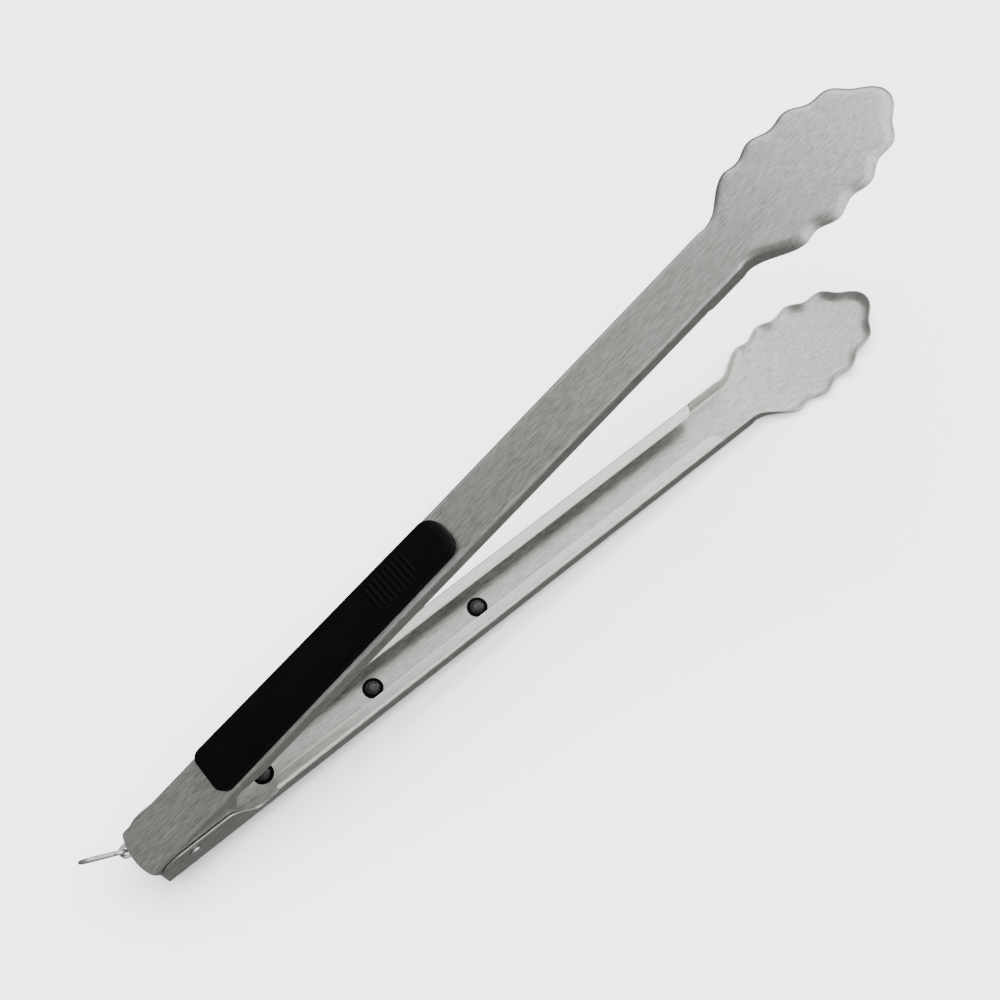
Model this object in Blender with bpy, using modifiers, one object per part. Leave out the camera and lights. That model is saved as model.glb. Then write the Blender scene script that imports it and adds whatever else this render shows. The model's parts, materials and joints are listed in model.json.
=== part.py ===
"""Spring loaded kitchen tongs, open and lying on the back of the lower arm.

Two pressed steel arms turn on one riveted pin.  A torsion spring pushes them apart, a lock slider
with a pull ring holds them together, and a moulded grip is riveted to the back of each arm.

Arm frame: the pin's axis is Y through the origin, +X runs to the head, and the arm's back is its
flat outer face.  Both arms are shaped back down.  The upper one is then turned over about X and
opened about the pin.  All sizes are in metres and radians.
"""
import math

import bmesh
import bpy
import numpy as np
from mathutils import Matrix, Vector

# Overall sizes, measured from the pin's axis
TIP_X = 0.384                # tip of the head
TAIL_X = -0.0147             # tail corners of an arm
TAIL_BULGE = 0.0025          # how far the tail's arc stands out between its corners
OPEN_ANGLE = math.radians(23.5)

# Sheet and running gaps
SHEET = 0.0008
GAP = 0.0003                 # between pieces that touch or slide
FINE_GAP = 0.0004            # from the lock slider to the floor it runs on

# Channel section
LOWER_HALF_WIDTH = 0.0122    # outside of the lower arm's walls
UPPER_HALF_WIDTH = LOWER_HALF_WIDTH - SHEET - GAP
LOWER_DEPTH = 0.0125         # pin axis to the lower arm's back
UPPER_DEPTH = LOWER_DEPTH - SHEET - FINE_GAP   # pin axis to the upper arm's back
WALL_HEIGHT = 0.0091         # back to rim
BACK_BEND = 0.0026           # outside radius between back and wall
LIP_BEND = 0.0016            # outside radius between wall and in-turned lip
LIP_WIDTH = 0.0056           # outside of the wall to the lip's free edge
LIP_START_X = 0.0386
LIP_END_X = TIP_X - 0.102
LIP_CORNER = 0.0048          # length over which a lip's end is cut away
LIP_CUT_SHARES = (0.0, 0.35, 0.75, 1.0)   # ribs along that cut, as shares of it
LIP_LEAST = 0.0002           # straight part of a lip at its very end
RIB_SPACE = 0.002            # from a change of section to the next rib
LIP_STEP = 0.003             # length over which the wall steps up past the lip

# Ears around the pin, and the finger notch in front of them
EAR_ABOVE_PIN = 0.0064       # lower arm's ear above the pin's axis
UPPER_EAR_BELOW_PIN = LOWER_DEPTH - 0.0042   # leaves the lock slider its floor
EAR_ROUND_X = -0.005         # the ear's top rounds off from here to the tail
EAR_ROUND_DROP = 0.0082
TAIL_RIB_SHARES = (1.0, 0.94, 0.8, 0.6)   # ribs of the rounding, as shares of TAIL_X
EAR_ROUND_FULLNESS = 0.96    # share of a full quarter ellipse that the tail's rounding uses
EAR_FRONT_X = 0.0172
NOTCH_X = 0.0302
NOTCH_BELOW_RIM = 0.0029

# Head, placed back from its tip
NECK_X = TIP_X - 0.084       # the head starts to dip here
FLARE_START_X = TIP_X - 0.082
HEAD_CENTRE_X = TIP_X - 0.046
SCALLOP = 0.00108            # height of a lobe above the middle line
HEAD_SEMI_LENGTH = TIP_X - HEAD_CENTRE_X - SCALLOP
HEAD_HALF_WIDTH = 0.0222
SINK_START_X = TIP_X - 0.088 # the wall starts to sink towards the rim's depth
LEAN_START_X = TIP_X - 0.086 # the wall starts to lean out
HEAD_START = math.radians(109.0)   # ellipse parameter of the shoulder
TIP_LOBE_HALF = 0.0126       # length of half the tip lobe along the rim
SCALLOP_PITCH = 0.0170
RIM_DEPTH = 0.0031           # head floor to rim
RIM_SLOPE = math.radians(52.0)
RIM_BEND = 0.0045
TIP_GAP = 0.0003             # from each tip to the plane where the heads meet

# Hinge pin and spring
PIN_RADIUS = 0.0018
PIN_HEAD_RADIUS = 0.0027
PIN_HEAD_HEIGHT = 0.0011
SPRING_WIRE = 0.0012
SPRING_INNER_RADIUS = 0.0029
SPRING_TURNS = 6
SPRING_PITCH = 0.0016
SPRING_LEG_X = 0.0155
SPRING_BEND_X = 0.0085       # where a leg bends towards its arm
SPRING_BEND_SHARE = 0.72     # height there, as a share of the leg's full reach

# Grips
GRIP_START_X = 0.028
GRIP_END_X = 0.159
GRIP_HEIGHT = 0.0058
GRIP_HALF_START = 0.0100
GRIP_HALF_END = 0.0088
GRIP_CORNER = 0.0042
GRIP_EDGE = 0.0020           # rounding of the outer edge
GRIP_DRAFT = 0.0002          # the moulded side leans in by this much
BOSS_RADIUS = 0.0042
RIVET_X = (0.038, 0.094, 0.150)
RIVET_SHANK_RADIUS = 0.0015
RIVET_SHANK_LENGTH = 0.0042
RIVET_HEAD_RADIUS = 0.0031
RIVET_HEAD_HEIGHT = 0.0015
BOOLEAN_PASS = 0.001         # how far a joining or cutting body runs past a face

# Lock
BAR_RADIUS = 0.0010
BAR_CHAMFER = 0.0003
BAR_FREE_X = 0.0135          # bar when the tongs are free
LOCK_TRAVEL = 0.0045
PLATE = 0.0010               # lock slider's sheet
PLATE_SIDE_GAP = 0.0011      # from a slider plate to the upper arm's ear
PLATE_OUTER_Y = UPPER_HALF_WIDTH - SHEET - PLATE_SIDE_GAP
PLATE_TOP = 0.0045
PLATE_REAR_TOP = 0.0016
PLATE_FRONT_X = 0.0160
PLATE_REAR_X = TAIL_X + 0.0025
PLATE_STEP_X = -0.0075
PLATE_STEP_RUN = 0.002       # length of the step's slope
PLATE_CORNER = 0.0015        # chamfer of the front top corner
WEB_ABOVE_FOOT = 0.003
WEB_BELOW_TOP = 0.0003
TAB_HEIGHT = 0.0             # the pull tab's middle plane
TAB_HALF_WIDTH = 0.0030
TAB_MIDDLE_Y = PLATE_OUTER_Y - PLATE - TAB_HALF_WIDTH
EYE_X = TAIL_X - 0.0059
RING_WIRE = 0.0008           # wire radius
EYE_RADIUS = RING_WIRE + 2.0 * GAP
RING_NEAR_RADIUS = 0.0033    # wire's middle line, at the eye
RING_FAR_RADIUS = 0.0055     # wire's middle line, at the finger end
RING_LENGTH = 0.0195         # over the outside
RING_SWING = math.radians(26.0)
RING_LEAN = math.radians(20.0)


def clear_scene():
    """Remove whatever the file holds."""
    for obj in list(bpy.data.objects):
        bpy.data.objects.remove(obj, do_unlink=True)


def make_collection(name):
    collection = bpy.data.collections.new(name)
    bpy.context.scene.collection.children.link(collection)
    return collection


def make_material(name, colour, roughness, metallic):
    material = bpy.data.materials.new(name)
    material.use_nodes = True
    shader = material.node_tree.nodes["Principled BSDF"]
    shader.inputs["Base Color"].default_value = (*colour, 1.0)
    shader.inputs["Roughness"].default_value = roughness
    shader.inputs["Metallic"].default_value = metallic
    return material


def brushed_steel(name):
    return make_material(name, (0.60, 0.60, 0.58), 0.36, 1.0)


def bright_steel(name):
    return make_material(name, (0.72, 0.72, 0.71), 0.18, 1.0)


def black_rubber(name):
    return make_material(name, (0.012, 0.012, 0.013), 0.62, 0.0)


def black_rivet(name):
    return make_material(name, (0.02, 0.02, 0.022), 0.35, 0.3)


def object_from_bmesh(name, bm, collection, material=None):
    bmesh.ops.recalc_face_normals(bm, faces=bm.faces)
    mesh = bpy.data.meshes.new(name)
    bm.to_mesh(mesh)
    bm.free()
    obj = bpy.data.objects.new(name, mesh)
    collection.objects.link(obj)
    if material:
        mesh.materials.append(material)
    return obj


def make_cutter(obj):
    """Keep a cutting or joining body out of the finished object."""
    obj.hide_render = True
    obj.display_type = "WIRE"
    return obj


def add_boolean(obj, other, operation):
    modifier = obj.modifiers.new(other.name, "BOOLEAN")
    modifier.object = other
    modifier.operation = operation
    modifier.solver = "EXACT"


def smooth(obj, degrees):
    obj.data.shade_smooth()
    obj.data.set_sharp_from_angle(angle=math.radians(degrees))


def ease(value):
    """Smooth step from 0 to 1."""
    value = min(max(value, 0.0), 1.0)
    return value * value * (3.0 - 2.0 * value)


def between(x, x_low, x_high, low, high):
    return low + (high - low) * ease((x - x_low) / (x_high - x_low))


def prism(name, outline, axis, low, high, collection, material=None):
    """Extrude a flat outline along Y or Z, from low to high."""
    bm = bmesh.new()
    if axis == "Y":
        rim = [bm.verts.new((a, low, b)) for a, b in outline]
        step = Vector((0.0, high - low, 0.0))
    else:
        rim = [bm.verts.new((a, b, low)) for a, b in outline]
        step = Vector((0.0, 0.0, high - low))
    face = bm.faces.new(rim)
    grown = bmesh.ops.extrude_face_region(bm, geom=[face])["geom"]
    bmesh.ops.translate(bm, vec=step, verts=[g for g in grown if isinstance(g, bmesh.types.BMVert)])
    return object_from_bmesh(name, bm, collection, material)


def arc_points(centre, radius, start, end, count):
    """Points on an arc in the plane, both ends included."""
    return [
        (centre[0] + radius * math.cos(angle), centre[1] + radius * math.sin(angle))
        for angle in np.linspace(start, end, count)
    ]


def slot_outline(x_low, x_high, z, radius):
    """A slot with round ends, along X."""
    half = math.pi / 2.0
    return (arc_points((x_high, z), radius, -half, half, 9)
            + arc_points((x_low, z), radius, half, 3.0 * half, 9))


def turned(name, profile, collection, material, steps=24):
    """Turn a profile about Z; it runs from the top of the axis down the outside to the bottom."""
    mesh = bpy.data.meshes.new(name)
    points = [(radius, 0.0, height) for radius, height in profile]
    mesh.from_pydata(points, [(i, i + 1) for i in range(len(points) - 1)], [])
    obj = bpy.data.objects.new(name, mesh)
    collection.objects.link(obj)
    mesh.materials.append(material)
    screw = obj.modifiers.new("turn", "SCREW")
    screw.axis = "Z"
    screw.steps = steps
    screw.render_steps = steps
    screw.use_merge_vertices = True
    screw.merge_threshold = 0.00005
    screw.use_smooth_shade = True
    return obj


# --------------------------------------------------------------------------------------------- arms

def dip_radius(depth):
    """Radius of the head's inward curve, which brings the rim's tip to the meeting plane."""
    inner_edge_rise = SHEET * math.cos(RIM_SLOPE)
    fall = depth - RIM_DEPTH - inner_edge_rise - TIP_GAP
    return (TIP_X - NECK_X) ** 2 / (2.0 * fall)


def back_height(x, depth):
    """Height of the arm's back at x: flat, then curving in along the head."""
    if x <= NECK_X:
        return -depth
    return -depth + (x - NECK_X) ** 2 / (2.0 * dip_radius(depth))


def edge_height(x, depth, ear_top):
    """Height above the back of the wall's free edge, from the tail to the lips."""
    rim = WALL_HEIGHT
    ear = depth + ear_top
    if x < EAR_ROUND_X:
        share = min((EAR_ROUND_X - x) / (EAR_ROUND_X - TAIL_X), 1.0)
        return ear - EAR_ROUND_DROP * (1.0 - math.sqrt(1.0 - EAR_ROUND_FULLNESS * share * share))
    if x < EAR_FRONT_X:
        return ear
    if x < NOTCH_X:
        return between(x, EAR_FRONT_X, NOTCH_X, ear, rim - NOTCH_BELOW_RIM)
    return between(x, NOTCH_X, LIP_START_X, rim - NOTCH_BELOW_RIM, rim - LIP_BEND)


def ellipse_arc_length(parameter):
    """Length along the head's ellipse from the tip to a parameter."""
    angles = np.linspace(0.0, parameter, 200)
    speed = np.hypot(HEAD_SEMI_LENGTH * np.sin(angles), HEAD_HALF_WIDTH * np.cos(angles))
    return float(np.sum((speed[1:] + speed[:-1]) * 0.5 * np.diff(angles)))


def scallop_height(arc):
    """Offset of the rim from its ellipse: a wide lobe at the tip, then even lobes."""
    if arc < TIP_LOBE_HALF:
        return SCALLOP * math.cos(math.pi * arc / TIP_LOBE_HALF)
    return -SCALLOP * math.cos(2.0 * math.pi * (arc - TIP_LOBE_HALF) / SCALLOP_PITCH)


def head_rim_point(parameter):
    """Plan point of the scalloped rim, and the point on the middle line facing it."""
    cosine = math.cos(parameter)
    sine = math.sin(parameter)
    normal = Vector((cosine / HEAD_SEMI_LENGTH, sine / HEAD_HALF_WIDTH)).normalized()
    base = Vector((HEAD_CENTRE_X + HEAD_SEMI_LENGTH * cosine, HEAD_HALF_WIDTH * sine))
    rim = base + normal * scallop_height(ellipse_arc_length(parameter))
    focal = (HEAD_SEMI_LENGTH ** 2 - HEAD_HALF_WIDTH ** 2) / HEAD_SEMI_LENGTH
    return rim, HEAD_CENTRE_X + focal * cosine


def arm_ribs(half_width, depth, ear_top):
    """Ribs from tail to tip: (spine x, rim point, rim height, wall slope, bend radius, lip share)."""
    upright = math.pi / 2.0
    ribs = []
    tail_xs = [TAIL_X * share for share in TAIL_RIB_SHARES] + [EAR_ROUND_X]
    ear_xs = [0.0, EAR_FRONT_X * 0.5, EAR_FRONT_X]
    notch_xs = list(np.linspace(EAR_FRONT_X, NOTCH_X, 8))[1:]
    lead_xs = list(np.linspace(NOTCH_X, LIP_START_X, 5))[1:-1]
    for x in tail_xs + ear_xs + notch_xs + lead_xs:
        ribs.append((x, (x, half_width), edge_height(x, depth, ear_top), upright, BACK_BEND, None))
    lip_xs = [LIP_START_X + LIP_CORNER * share for share in LIP_CUT_SHARES]
    lip_xs += list(np.linspace(LIP_START_X, LIP_END_X, 8))[1:-1]
    lip_xs += [LIP_END_X - LIP_CORNER * share for share in reversed(LIP_CUT_SHARES)]
    for x in lip_xs:
        near_end = min(x - LIP_START_X, LIP_END_X - x) / LIP_CORNER
        share = math.sqrt(1.0 - (1.0 - min(near_end, 1.0)) ** 2)
        ribs.append((x, (x, half_width), WALL_HEIGHT - LIP_BEND, upright, BACK_BEND, share))
    for x in (LIP_END_X + RIB_SPACE, (LIP_END_X + NECK_X) / 2.0, NECK_X - RIB_SPACE):
        height = between(x, LIP_END_X, LIP_END_X + LIP_STEP, WALL_HEIGHT - LIP_BEND, WALL_HEIGHT)
        ribs.append((x, (x, half_width), height, upright, BACK_BEND, None))
    shoulder, shoulder_spine = head_rim_point(HEAD_START)
    for share in np.linspace(0.0, 1.0, 9)[:-1]:
        x = FLARE_START_X + (shoulder.x - FLARE_START_X) * share
        spine = FLARE_START_X + (shoulder_spine - FLARE_START_X) * share
        width = between(x, FLARE_START_X, shoulder.x, half_width, shoulder.y)
        height = between(x, SINK_START_X, shoulder.x, WALL_HEIGHT, RIM_DEPTH)
        slope = between(x, LEAN_START_X, shoulder.x, upright, RIM_SLOPE)
        bend = between(x, FLARE_START_X, shoulder.x, BACK_BEND, RIM_BEND)
        ribs.append((spine, (x, width), height, slope, bend, None))
    for parameter in np.linspace(HEAD_START, 0.0, 33):
        rim, spine = head_rim_point(float(parameter))
        ribs.append((spine, (rim.x, rim.y), RIM_DEPTH, RIM_SLOPE, RIM_BEND, None))
    return ribs


def rib_section(rib):
    """Points (distance from the middle line, height above the back) of one rib, and its lip."""
    spine, rim, height, slope, bend, lip_share = rib
    reach = math.hypot(rim[0] - spine, rim[1])
    corner = reach - height / math.tan(slope)
    setback = bend * math.tan(slope / 2.0)
    centre = (corner - setback, bend)
    points = [(0.0, 0.0), ((corner - setback) * 0.5, 0.0)]
    points += arc_points(centre, bend, -math.pi / 2.0, slope - math.pi / 2.0, 4)
    points.append((reach, height))
    lip = []
    if lip_share is not None:
        centre = (reach - LIP_BEND, height)
        lip = arc_points(centre, LIP_BEND, 0.0, math.pi / 2.0, 4)[1:]
        free = (LIP_WIDTH - LIP_BEND) * lip_share + LIP_LEAST
        lip.append((reach - LIP_BEND - free, height + LIP_BEND))
    return points, lip


def arm_surface(name, half_width, depth, ear_top, collection, material):
    """Outer surface of an arm as a loft of ribs, both sides, back down."""
    ribs = arm_ribs(half_width, depth, ear_top)
    bm = bmesh.new()
    spine_verts = {}
    columns = {1: [], -1: []}
    for index, rib in enumerate(ribs):
        spine, rim = rib[0], rib[1]
        section, lip = rib_section(rib)
        direction = Vector((rim[0] - spine, rim[1])).normalized()
        bulge = TAIL_BULGE * (1.0 - ease((spine - TAIL_X) / (EAR_ROUND_X - TAIL_X)))
        for side in (1, -1):
            column = []
            for row, (reach, height) in enumerate(section + lip):
                if row == 0 and index in spine_verts:
                    column.append(spine_verts[index])
                    continue
                x = spine + direction.x * reach
                y = direction.y * reach
                x -= bulge * max(1.0 - (y / half_width) ** 2, 0.0)
                vert = bm.verts.new((x, side * y, back_height(x, depth) + height))
                if row == 0:
                    spine_verts[index] = vert
                column.append(vert)
            columns[side].append(column)
    for side in (1, -1):
        for left, right in zip(columns[side][:-1], columns[side][1:]):
            for row in range(min(len(left), len(right)) - 1):
                corners = [left[row], right[row], right[row + 1], left[row + 1]]
                bm.faces.new(corners if side < 0 else corners[::-1])
    bmesh.ops.remove_doubles(bm, verts=bm.verts, dist=1e-6)
    mesh = bpy.data.meshes.new(name)
    bm.to_mesh(mesh)
    bm.free()
    obj = bpy.data.objects.new(name, mesh)
    collection.objects.link(obj)
    mesh.materials.append(material)
    shell = obj.modifiers.new("sheet", "SOLIDIFY")
    shell.thickness = SHEET
    shell.offset = -1.0
    shell.use_even_offset = True
    smooth(obj, 40.0)
    return obj


def cylinder_cutter(name, radius, length, location, axis, cutters, vertices=32):
    bpy.ops.mesh.primitive_cylinder_add(vertices=vertices, radius=radius, depth=length)
    obj = bpy.context.object
    obj.name = name
    obj.location = location
    if axis == "Y":
        obj.rotation_euler = (math.pi / 2.0, 0.0, 0.0)
    for owner in list(obj.users_collection):
        owner.objects.unlink(obj)
    cutters.objects.link(obj)
    return make_cutter(obj)


def lock_slot_outline():
    """U-shaped slot that the lock bar follows, in the back-down arm frame.

    An arc about the pin joins two radial legs, one where the arm is closed and one where it is
    open, and each leg lets the bar slide towards the pin.
    """
    half = BAR_RADIUS + GAP
    inner_end = BAR_FREE_X - LOCK_TRAVEL
    outer_radius = BAR_FREE_X + half
    inner_radius = BAR_FREE_X - half
    outline = arc_points((inner_end, 0.0), half, math.pi / 2.0, 3.0 * math.pi / 2.0, 9)
    lean = math.asin(half / outer_radius)
    outline += arc_points((0.0, 0.0), outer_radius, -lean, OPEN_ANGLE + lean, 13)
    along = Vector((math.cos(OPEN_ANGLE), math.sin(OPEN_ANGLE)))
    end = along * inner_end
    start = OPEN_ANGLE + math.pi / 2.0
    outline += arc_points(end, half, start, start + math.pi, 9)
    lean = math.asin(half / inner_radius)
    outline += arc_points((0.0, 0.0), inner_radius, OPEN_ANGLE - lean, lean, 5)
    return outline


def build_arm(name, half_width, depth, ear_top, collection, cutters, parent, lock_slot=False):
    """One pressed arm with its pin holes, grip holes and, on the upper arm, the lock slots."""
    arm = arm_surface(name, half_width, depth, ear_top, collection, brushed_steel(name))
    arm.parent = parent
    through = 4.0 * LOWER_HALF_WIDTH
    pin_hole = cylinder_cutter(name + "_pin_hole", PIN_RADIUS + GAP, through, (0, 0, 0), "Y", cutters)
    holes = [pin_hole]
    for index, x in enumerate(RIVET_X, start=1):
        place = (x, 0.0, -depth)
        holes.append(cylinder_cutter(f"{name}_grip_hole_{index}", BOSS_RADIUS + GAP,
                                     6.0 * SHEET, place, "Z", cutters))
    if lock_slot:
        slot = prism(name + "_lock_slot", lock_slot_outline(), "Y", -through / 2.0, through / 2.0,
                     cutters)
        holes.append(make_cutter(slot))
    for hole in holes:
        hole.parent = parent
        add_boolean(arm, hole, "DIFFERENCE")
    return arm


# -------------------------------------------------------------------------------------------- grips

def grip_outline(inset):
    """Tapered rectangle with round corners, drawn in by an inset."""
    radius = GRIP_CORNER - inset
    quarter = math.pi / 2.0
    corners = (
        (GRIP_END_X - GRIP_CORNER, GRIP_HALF_END - GRIP_CORNER, 0.0),
        (GRIP_START_X + GRIP_CORNER, GRIP_HALF_START - GRIP_CORNER, quarter),
        (GRIP_START_X + GRIP_CORNER, GRIP_CORNER - GRIP_HALF_START, 2.0 * quarter),
        (GRIP_END_X - GRIP_CORNER, GRIP_CORNER - GRIP_HALF_END, 3.0 * quarter),
    )
    outline = []
    for x, y, start in corners:
        outline += arc_points((x, y), radius, start, start + quarter, 7)
    return outline


def build_grip(name, depth, collection, cutters, parent):
    """Moulded grip on an arm's back, with three bosses that stand in the arm's holes."""
    inner = -depth - GAP
    outer = inner - GRIP_HEIGHT
    rings = [(0.0, inner)]
    for angle in np.linspace(0.0, math.pi / 2.0, 5):
        inset = GRIP_DRAFT + GRIP_EDGE * (1.0 - math.cos(angle))
        rings.append((inset, outer + GRIP_EDGE * (1.0 - math.sin(angle))))
    bm = bmesh.new()
    loops = []
    for inset, z in rings:
        loops.append([bm.verts.new((x, y, z)) for x, y in grip_outline(inset)])
    count = len(loops[0])
    for low, high in zip(loops[:-1], loops[1:]):
        for i in range(count):
            bm.faces.new((low[i], low[(i + 1) % count], high[(i + 1) % count], high[i]))
    bm.faces.new(loops[0])
    bm.faces.new(loops[-1])
    grip = object_from_bmesh(name, bm, collection, black_rubber(name))
    grip.parent = parent
    top = -depth + SHEET
    for index, x in enumerate(RIVET_X, start=1):
        height = top - inner + 2.0 * BOOLEAN_PASS
        place = (x, 0.0, top - height / 2.0)
        boss = cylinder_cutter(f"{name}_boss_{index}", BOSS_RADIUS, height, place, "Z", cutters)
        bore_length = RIVET_SHANK_LENGTH + GAP
        bore_place = (x, 0.0, top - (bore_length - BOOLEAN_PASS) / 2.0)
        bore = cylinder_cutter(f"{name}_bore_{index}", RIVET_SHANK_RADIUS + GAP,
                               bore_length + BOOLEAN_PASS, bore_place, "Z", cutters, 24)
        boss.parent = parent
        bore.parent = parent
        add_boolean(grip, boss, "UNION")
        add_boolean(grip, bore, "DIFFERENCE")
    smooth(grip, 35.0)
    return grip


def build_rivet(name, x, depth, collection, parent):
    """Domed rivet that holds a grip's boss from inside the arm."""
    seat = GAP
    dome = [
        (RIVET_HEAD_RADIUS * math.sin(angle), seat + RIVET_HEAD_HEIGHT * math.cos(angle))
        for angle in np.linspace(0.0, math.pi / 2.0, 7)
    ]
    shank_end = seat - RIVET_SHANK_LENGTH
    profile = dome + [(RIVET_SHANK_RADIUS, seat), (RIVET_SHANK_RADIUS, shank_end), (0.0, shank_end)]
    rivet = turned(name, profile, collection, black_rivet(name))
    rivet.location = (x, 0.0, -depth + SHEET)
    rivet.parent = parent
    return rivet


# ---------------------------------------------------------------------------------- hinge and spring

def build_pin(collection, parent):
    """Riveted hinge pin with a low domed head outside each of the lower arm's walls."""
    seat = LOWER_HALF_WIDTH + GAP
    dome = [
        (PIN_HEAD_RADIUS * math.sin(angle), seat + PIN_HEAD_HEIGHT * math.cos(angle))
        for angle in np.linspace(0.0, math.pi / 2.0, 6)
    ]
    upper_half = dome + [(PIN_RADIUS, seat)]
    profile = upper_half + [(radius, -height) for radius, height in reversed(upper_half)]
    pin = turned("hinge_pin", profile, collection, bright_steel("hinge_pin"))
    pin.rotation_euler = (math.pi / 2.0, 0.0, 0.0)
    pin.parent = parent
    return pin


def wire_object(name, points, radius, cyclic, collection, material, sides=2):
    curve = bpy.data.curves.new(name, "CURVE")
    curve.dimensions = "3D"
    curve.bevel_depth = radius
    curve.bevel_resolution = sides
    curve.render_resolution_u = 0
    curve.use_fill_caps = not cyclic
    spline = curve.splines.new("POLY")
    spline.points.add(len(points) - 1)
    for target, point in zip(spline.points, points):
        target.co = (*point, 1.0)
    spline.use_cyclic_u = cyclic
    obj = bpy.data.objects.new(name, curve)
    collection.objects.link(obj)
    curve.materials.append(material)
    return obj


def build_spring(collection, parent):
    """Torsion spring: a coil round the pin, one leg on each arm's inner face."""
    wire = SPRING_WIRE / 2.0
    radius = SPRING_INNER_RADIUS + wire
    floor = -LOWER_DEPTH + SHEET + wire + GAP
    ceiling = UPPER_DEPTH - SHEET - wire - GAP
    half_length = SPRING_TURNS * SPRING_PITCH / 2.0
    turn = 2.0 * math.pi * SPRING_TURNS - (math.pi - OPEN_ANGLE)
    start = -math.pi / 2.0
    steps = SPRING_TURNS * 16
    points = [(SPRING_LEG_X, -half_length, floor),
              (SPRING_BEND_X, -half_length, floor * SPRING_BEND_SHARE)]
    for step in range(steps + 1):
        angle = start - turn * step / steps
        y = -half_length + 2.0 * half_length * step / steps
        points.append((radius * math.cos(angle), y, radius * math.sin(angle)))
    opened = Matrix.Rotation(-OPEN_ANGLE, 3, "Y")
    bend_place = (SPRING_BEND_X, half_length, ceiling * SPRING_BEND_SHARE)
    for place in (bend_place, (SPRING_LEG_X, half_length, ceiling)):
        points.append(tuple(opened @ Vector(place)))
    spring = wire_object("torsion_spring", points, wire, False, collection,
                         bright_steel("torsion_spring"))
    spring.parent = parent
    return spring


# --------------------------------------------------------------------------------------------- lock

def build_slider(collection, cutters, parent):
    """Lock slider: two upright plates either side of the spring, a rear web and a pull tab."""
    foot = -LOWER_DEPTH + SHEET + FINE_GAP
    outline = [
        (PLATE_REAR_X, foot), (PLATE_FRONT_X, foot), (PLATE_FRONT_X, PLATE_TOP - PLATE_CORNER),
        (PLATE_FRONT_X - PLATE_CORNER, PLATE_TOP), (PLATE_STEP_X, PLATE_TOP),
        (PLATE_STEP_X - PLATE_STEP_RUN, PLATE_REAR_TOP), (PLATE_REAR_X, PLATE_REAR_TOP),
    ]
    inner = PLATE_OUTER_Y - PLATE
    slider = prism("lock_slider", outline, "Y", inner, PLATE_OUTER_Y, collection,
                   bright_steel("lock_slider"))
    far_plate = prism("slider_far_plate", outline, "Y", -PLATE_OUTER_Y, -inner, cutters)
    web_x = (PLATE_REAR_X, PLATE_REAR_X + PLATE)
    reach = PLATE_OUTER_Y - PLATE / 3.0
    web_outline = [(web_x[0], -reach), (web_x[1], -reach), (web_x[1], reach), (web_x[0], reach)]
    web = prism("slider_web", web_outline, "Z", foot + WEB_ABOVE_FOOT, PLATE_REAR_TOP - WEB_BELOW_TOP,
                cutters)
    root_x = PLATE_REAR_X + PLATE / 2.0
    round_end = arc_points((EYE_X, TAB_MIDDLE_Y), TAB_HALF_WIDTH, math.pi / 2.0, 1.5 * math.pi, 13)
    tab_outline = [(root_x, TAB_MIDDLE_Y - TAB_HALF_WIDTH), (root_x, TAB_MIDDLE_Y + TAB_HALF_WIDTH)]
    tab = prism("slider_tab", tab_outline + round_end, "Z", TAB_HEIGHT - PLATE / 2.0,
                TAB_HEIGHT + PLATE / 2.0, cutters)
    through = PLATE_OUTER_Y * 1.5
    pin_slot = prism("slider_pin_slot", slot_outline(0.0, LOCK_TRAVEL, 0.0, PIN_RADIUS + GAP), "Y",
                     -through, through, cutters)
    eye = cylinder_cutter("slider_eye", EYE_RADIUS, 4.0 * PLATE, (EYE_X, TAB_MIDDLE_Y, TAB_HEIGHT),
                          "Z", cutters, 24)
    bar_hole = cylinder_cutter("slider_bar_hole", BAR_RADIUS + GAP, 2.0 * through,
                               (BAR_FREE_X, 0, 0), "Y", cutters)
    for body in (far_plate, web, tab):
        add_boolean(slider, make_cutter(body), "UNION")
    add_boolean(slider, make_cutter(pin_slot), "DIFFERENCE")
    for hole in (eye, bar_hole):
        add_boolean(slider, hole, "DIFFERENCE")
    for obj in (slider, far_plate, web, tab, pin_slot, eye, bar_hole):
        obj.parent = parent
    return slider


def build_bar(collection, parent):
    """Lock bar across the slider; its ends run in the upper arm's slots."""
    length = 2.0 * UPPER_HALF_WIDTH
    bpy.ops.mesh.primitive_cylinder_add(vertices=24, radius=BAR_RADIUS, depth=length)
    bar = bpy.context.object
    bar.name = "lock_bar"
    bar.data.name = "lock_bar"
    for owner in list(bar.users_collection):
        owner.objects.unlink(bar)
    collection.objects.link(bar)
    bar.data.materials.append(bright_steel("lock_bar"))
    bevel = bar.modifiers.new("chamfer", "BEVEL")
    bevel.width = BAR_CHAMFER
    bevel.segments = 1
    bevel.limit_method = "ANGLE"
    bar.location = (BAR_FREE_X, 0.0, 0.0)
    bar.rotation_euler = (math.pi / 2.0, 0.0, 0.0)
    bar.parent = parent
    return bar


def build_ring(collection, parent):
    """Pear-shaped wire ring that hangs in the tab's eye; its origin is on its swing axis."""
    near_centre = -RING_NEAR_RADIUS
    far_centre = RING_FAR_RADIUS + 2.0 * RING_WIRE - RING_LENGTH
    tangent = math.acos((RING_NEAR_RADIUS - RING_FAR_RADIUS) / (near_centre - far_centre))
    near_end = arc_points((near_centre, 0.0), RING_NEAR_RADIUS, -tangent, tangent, 14)
    far_end = arc_points((far_centre, 0.0), RING_FAR_RADIUS, tangent, 2.0 * math.pi - tangent, 14)
    points = [(x, 0.0, z) for x, z in near_end + far_end]
    ring = wire_object("pull_ring", points, RING_WIRE, True, collection, bright_steel("pull_ring"))
    ring.location = (EYE_X, TAB_MIDDLE_Y, TAB_HEIGHT)
    ring.rotation_euler = (RING_LEAN, 0.0, -RING_SWING)
    ring.parent = parent
    return ring


# ------------------------------------------------------------------------------------------ assembly

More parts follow.
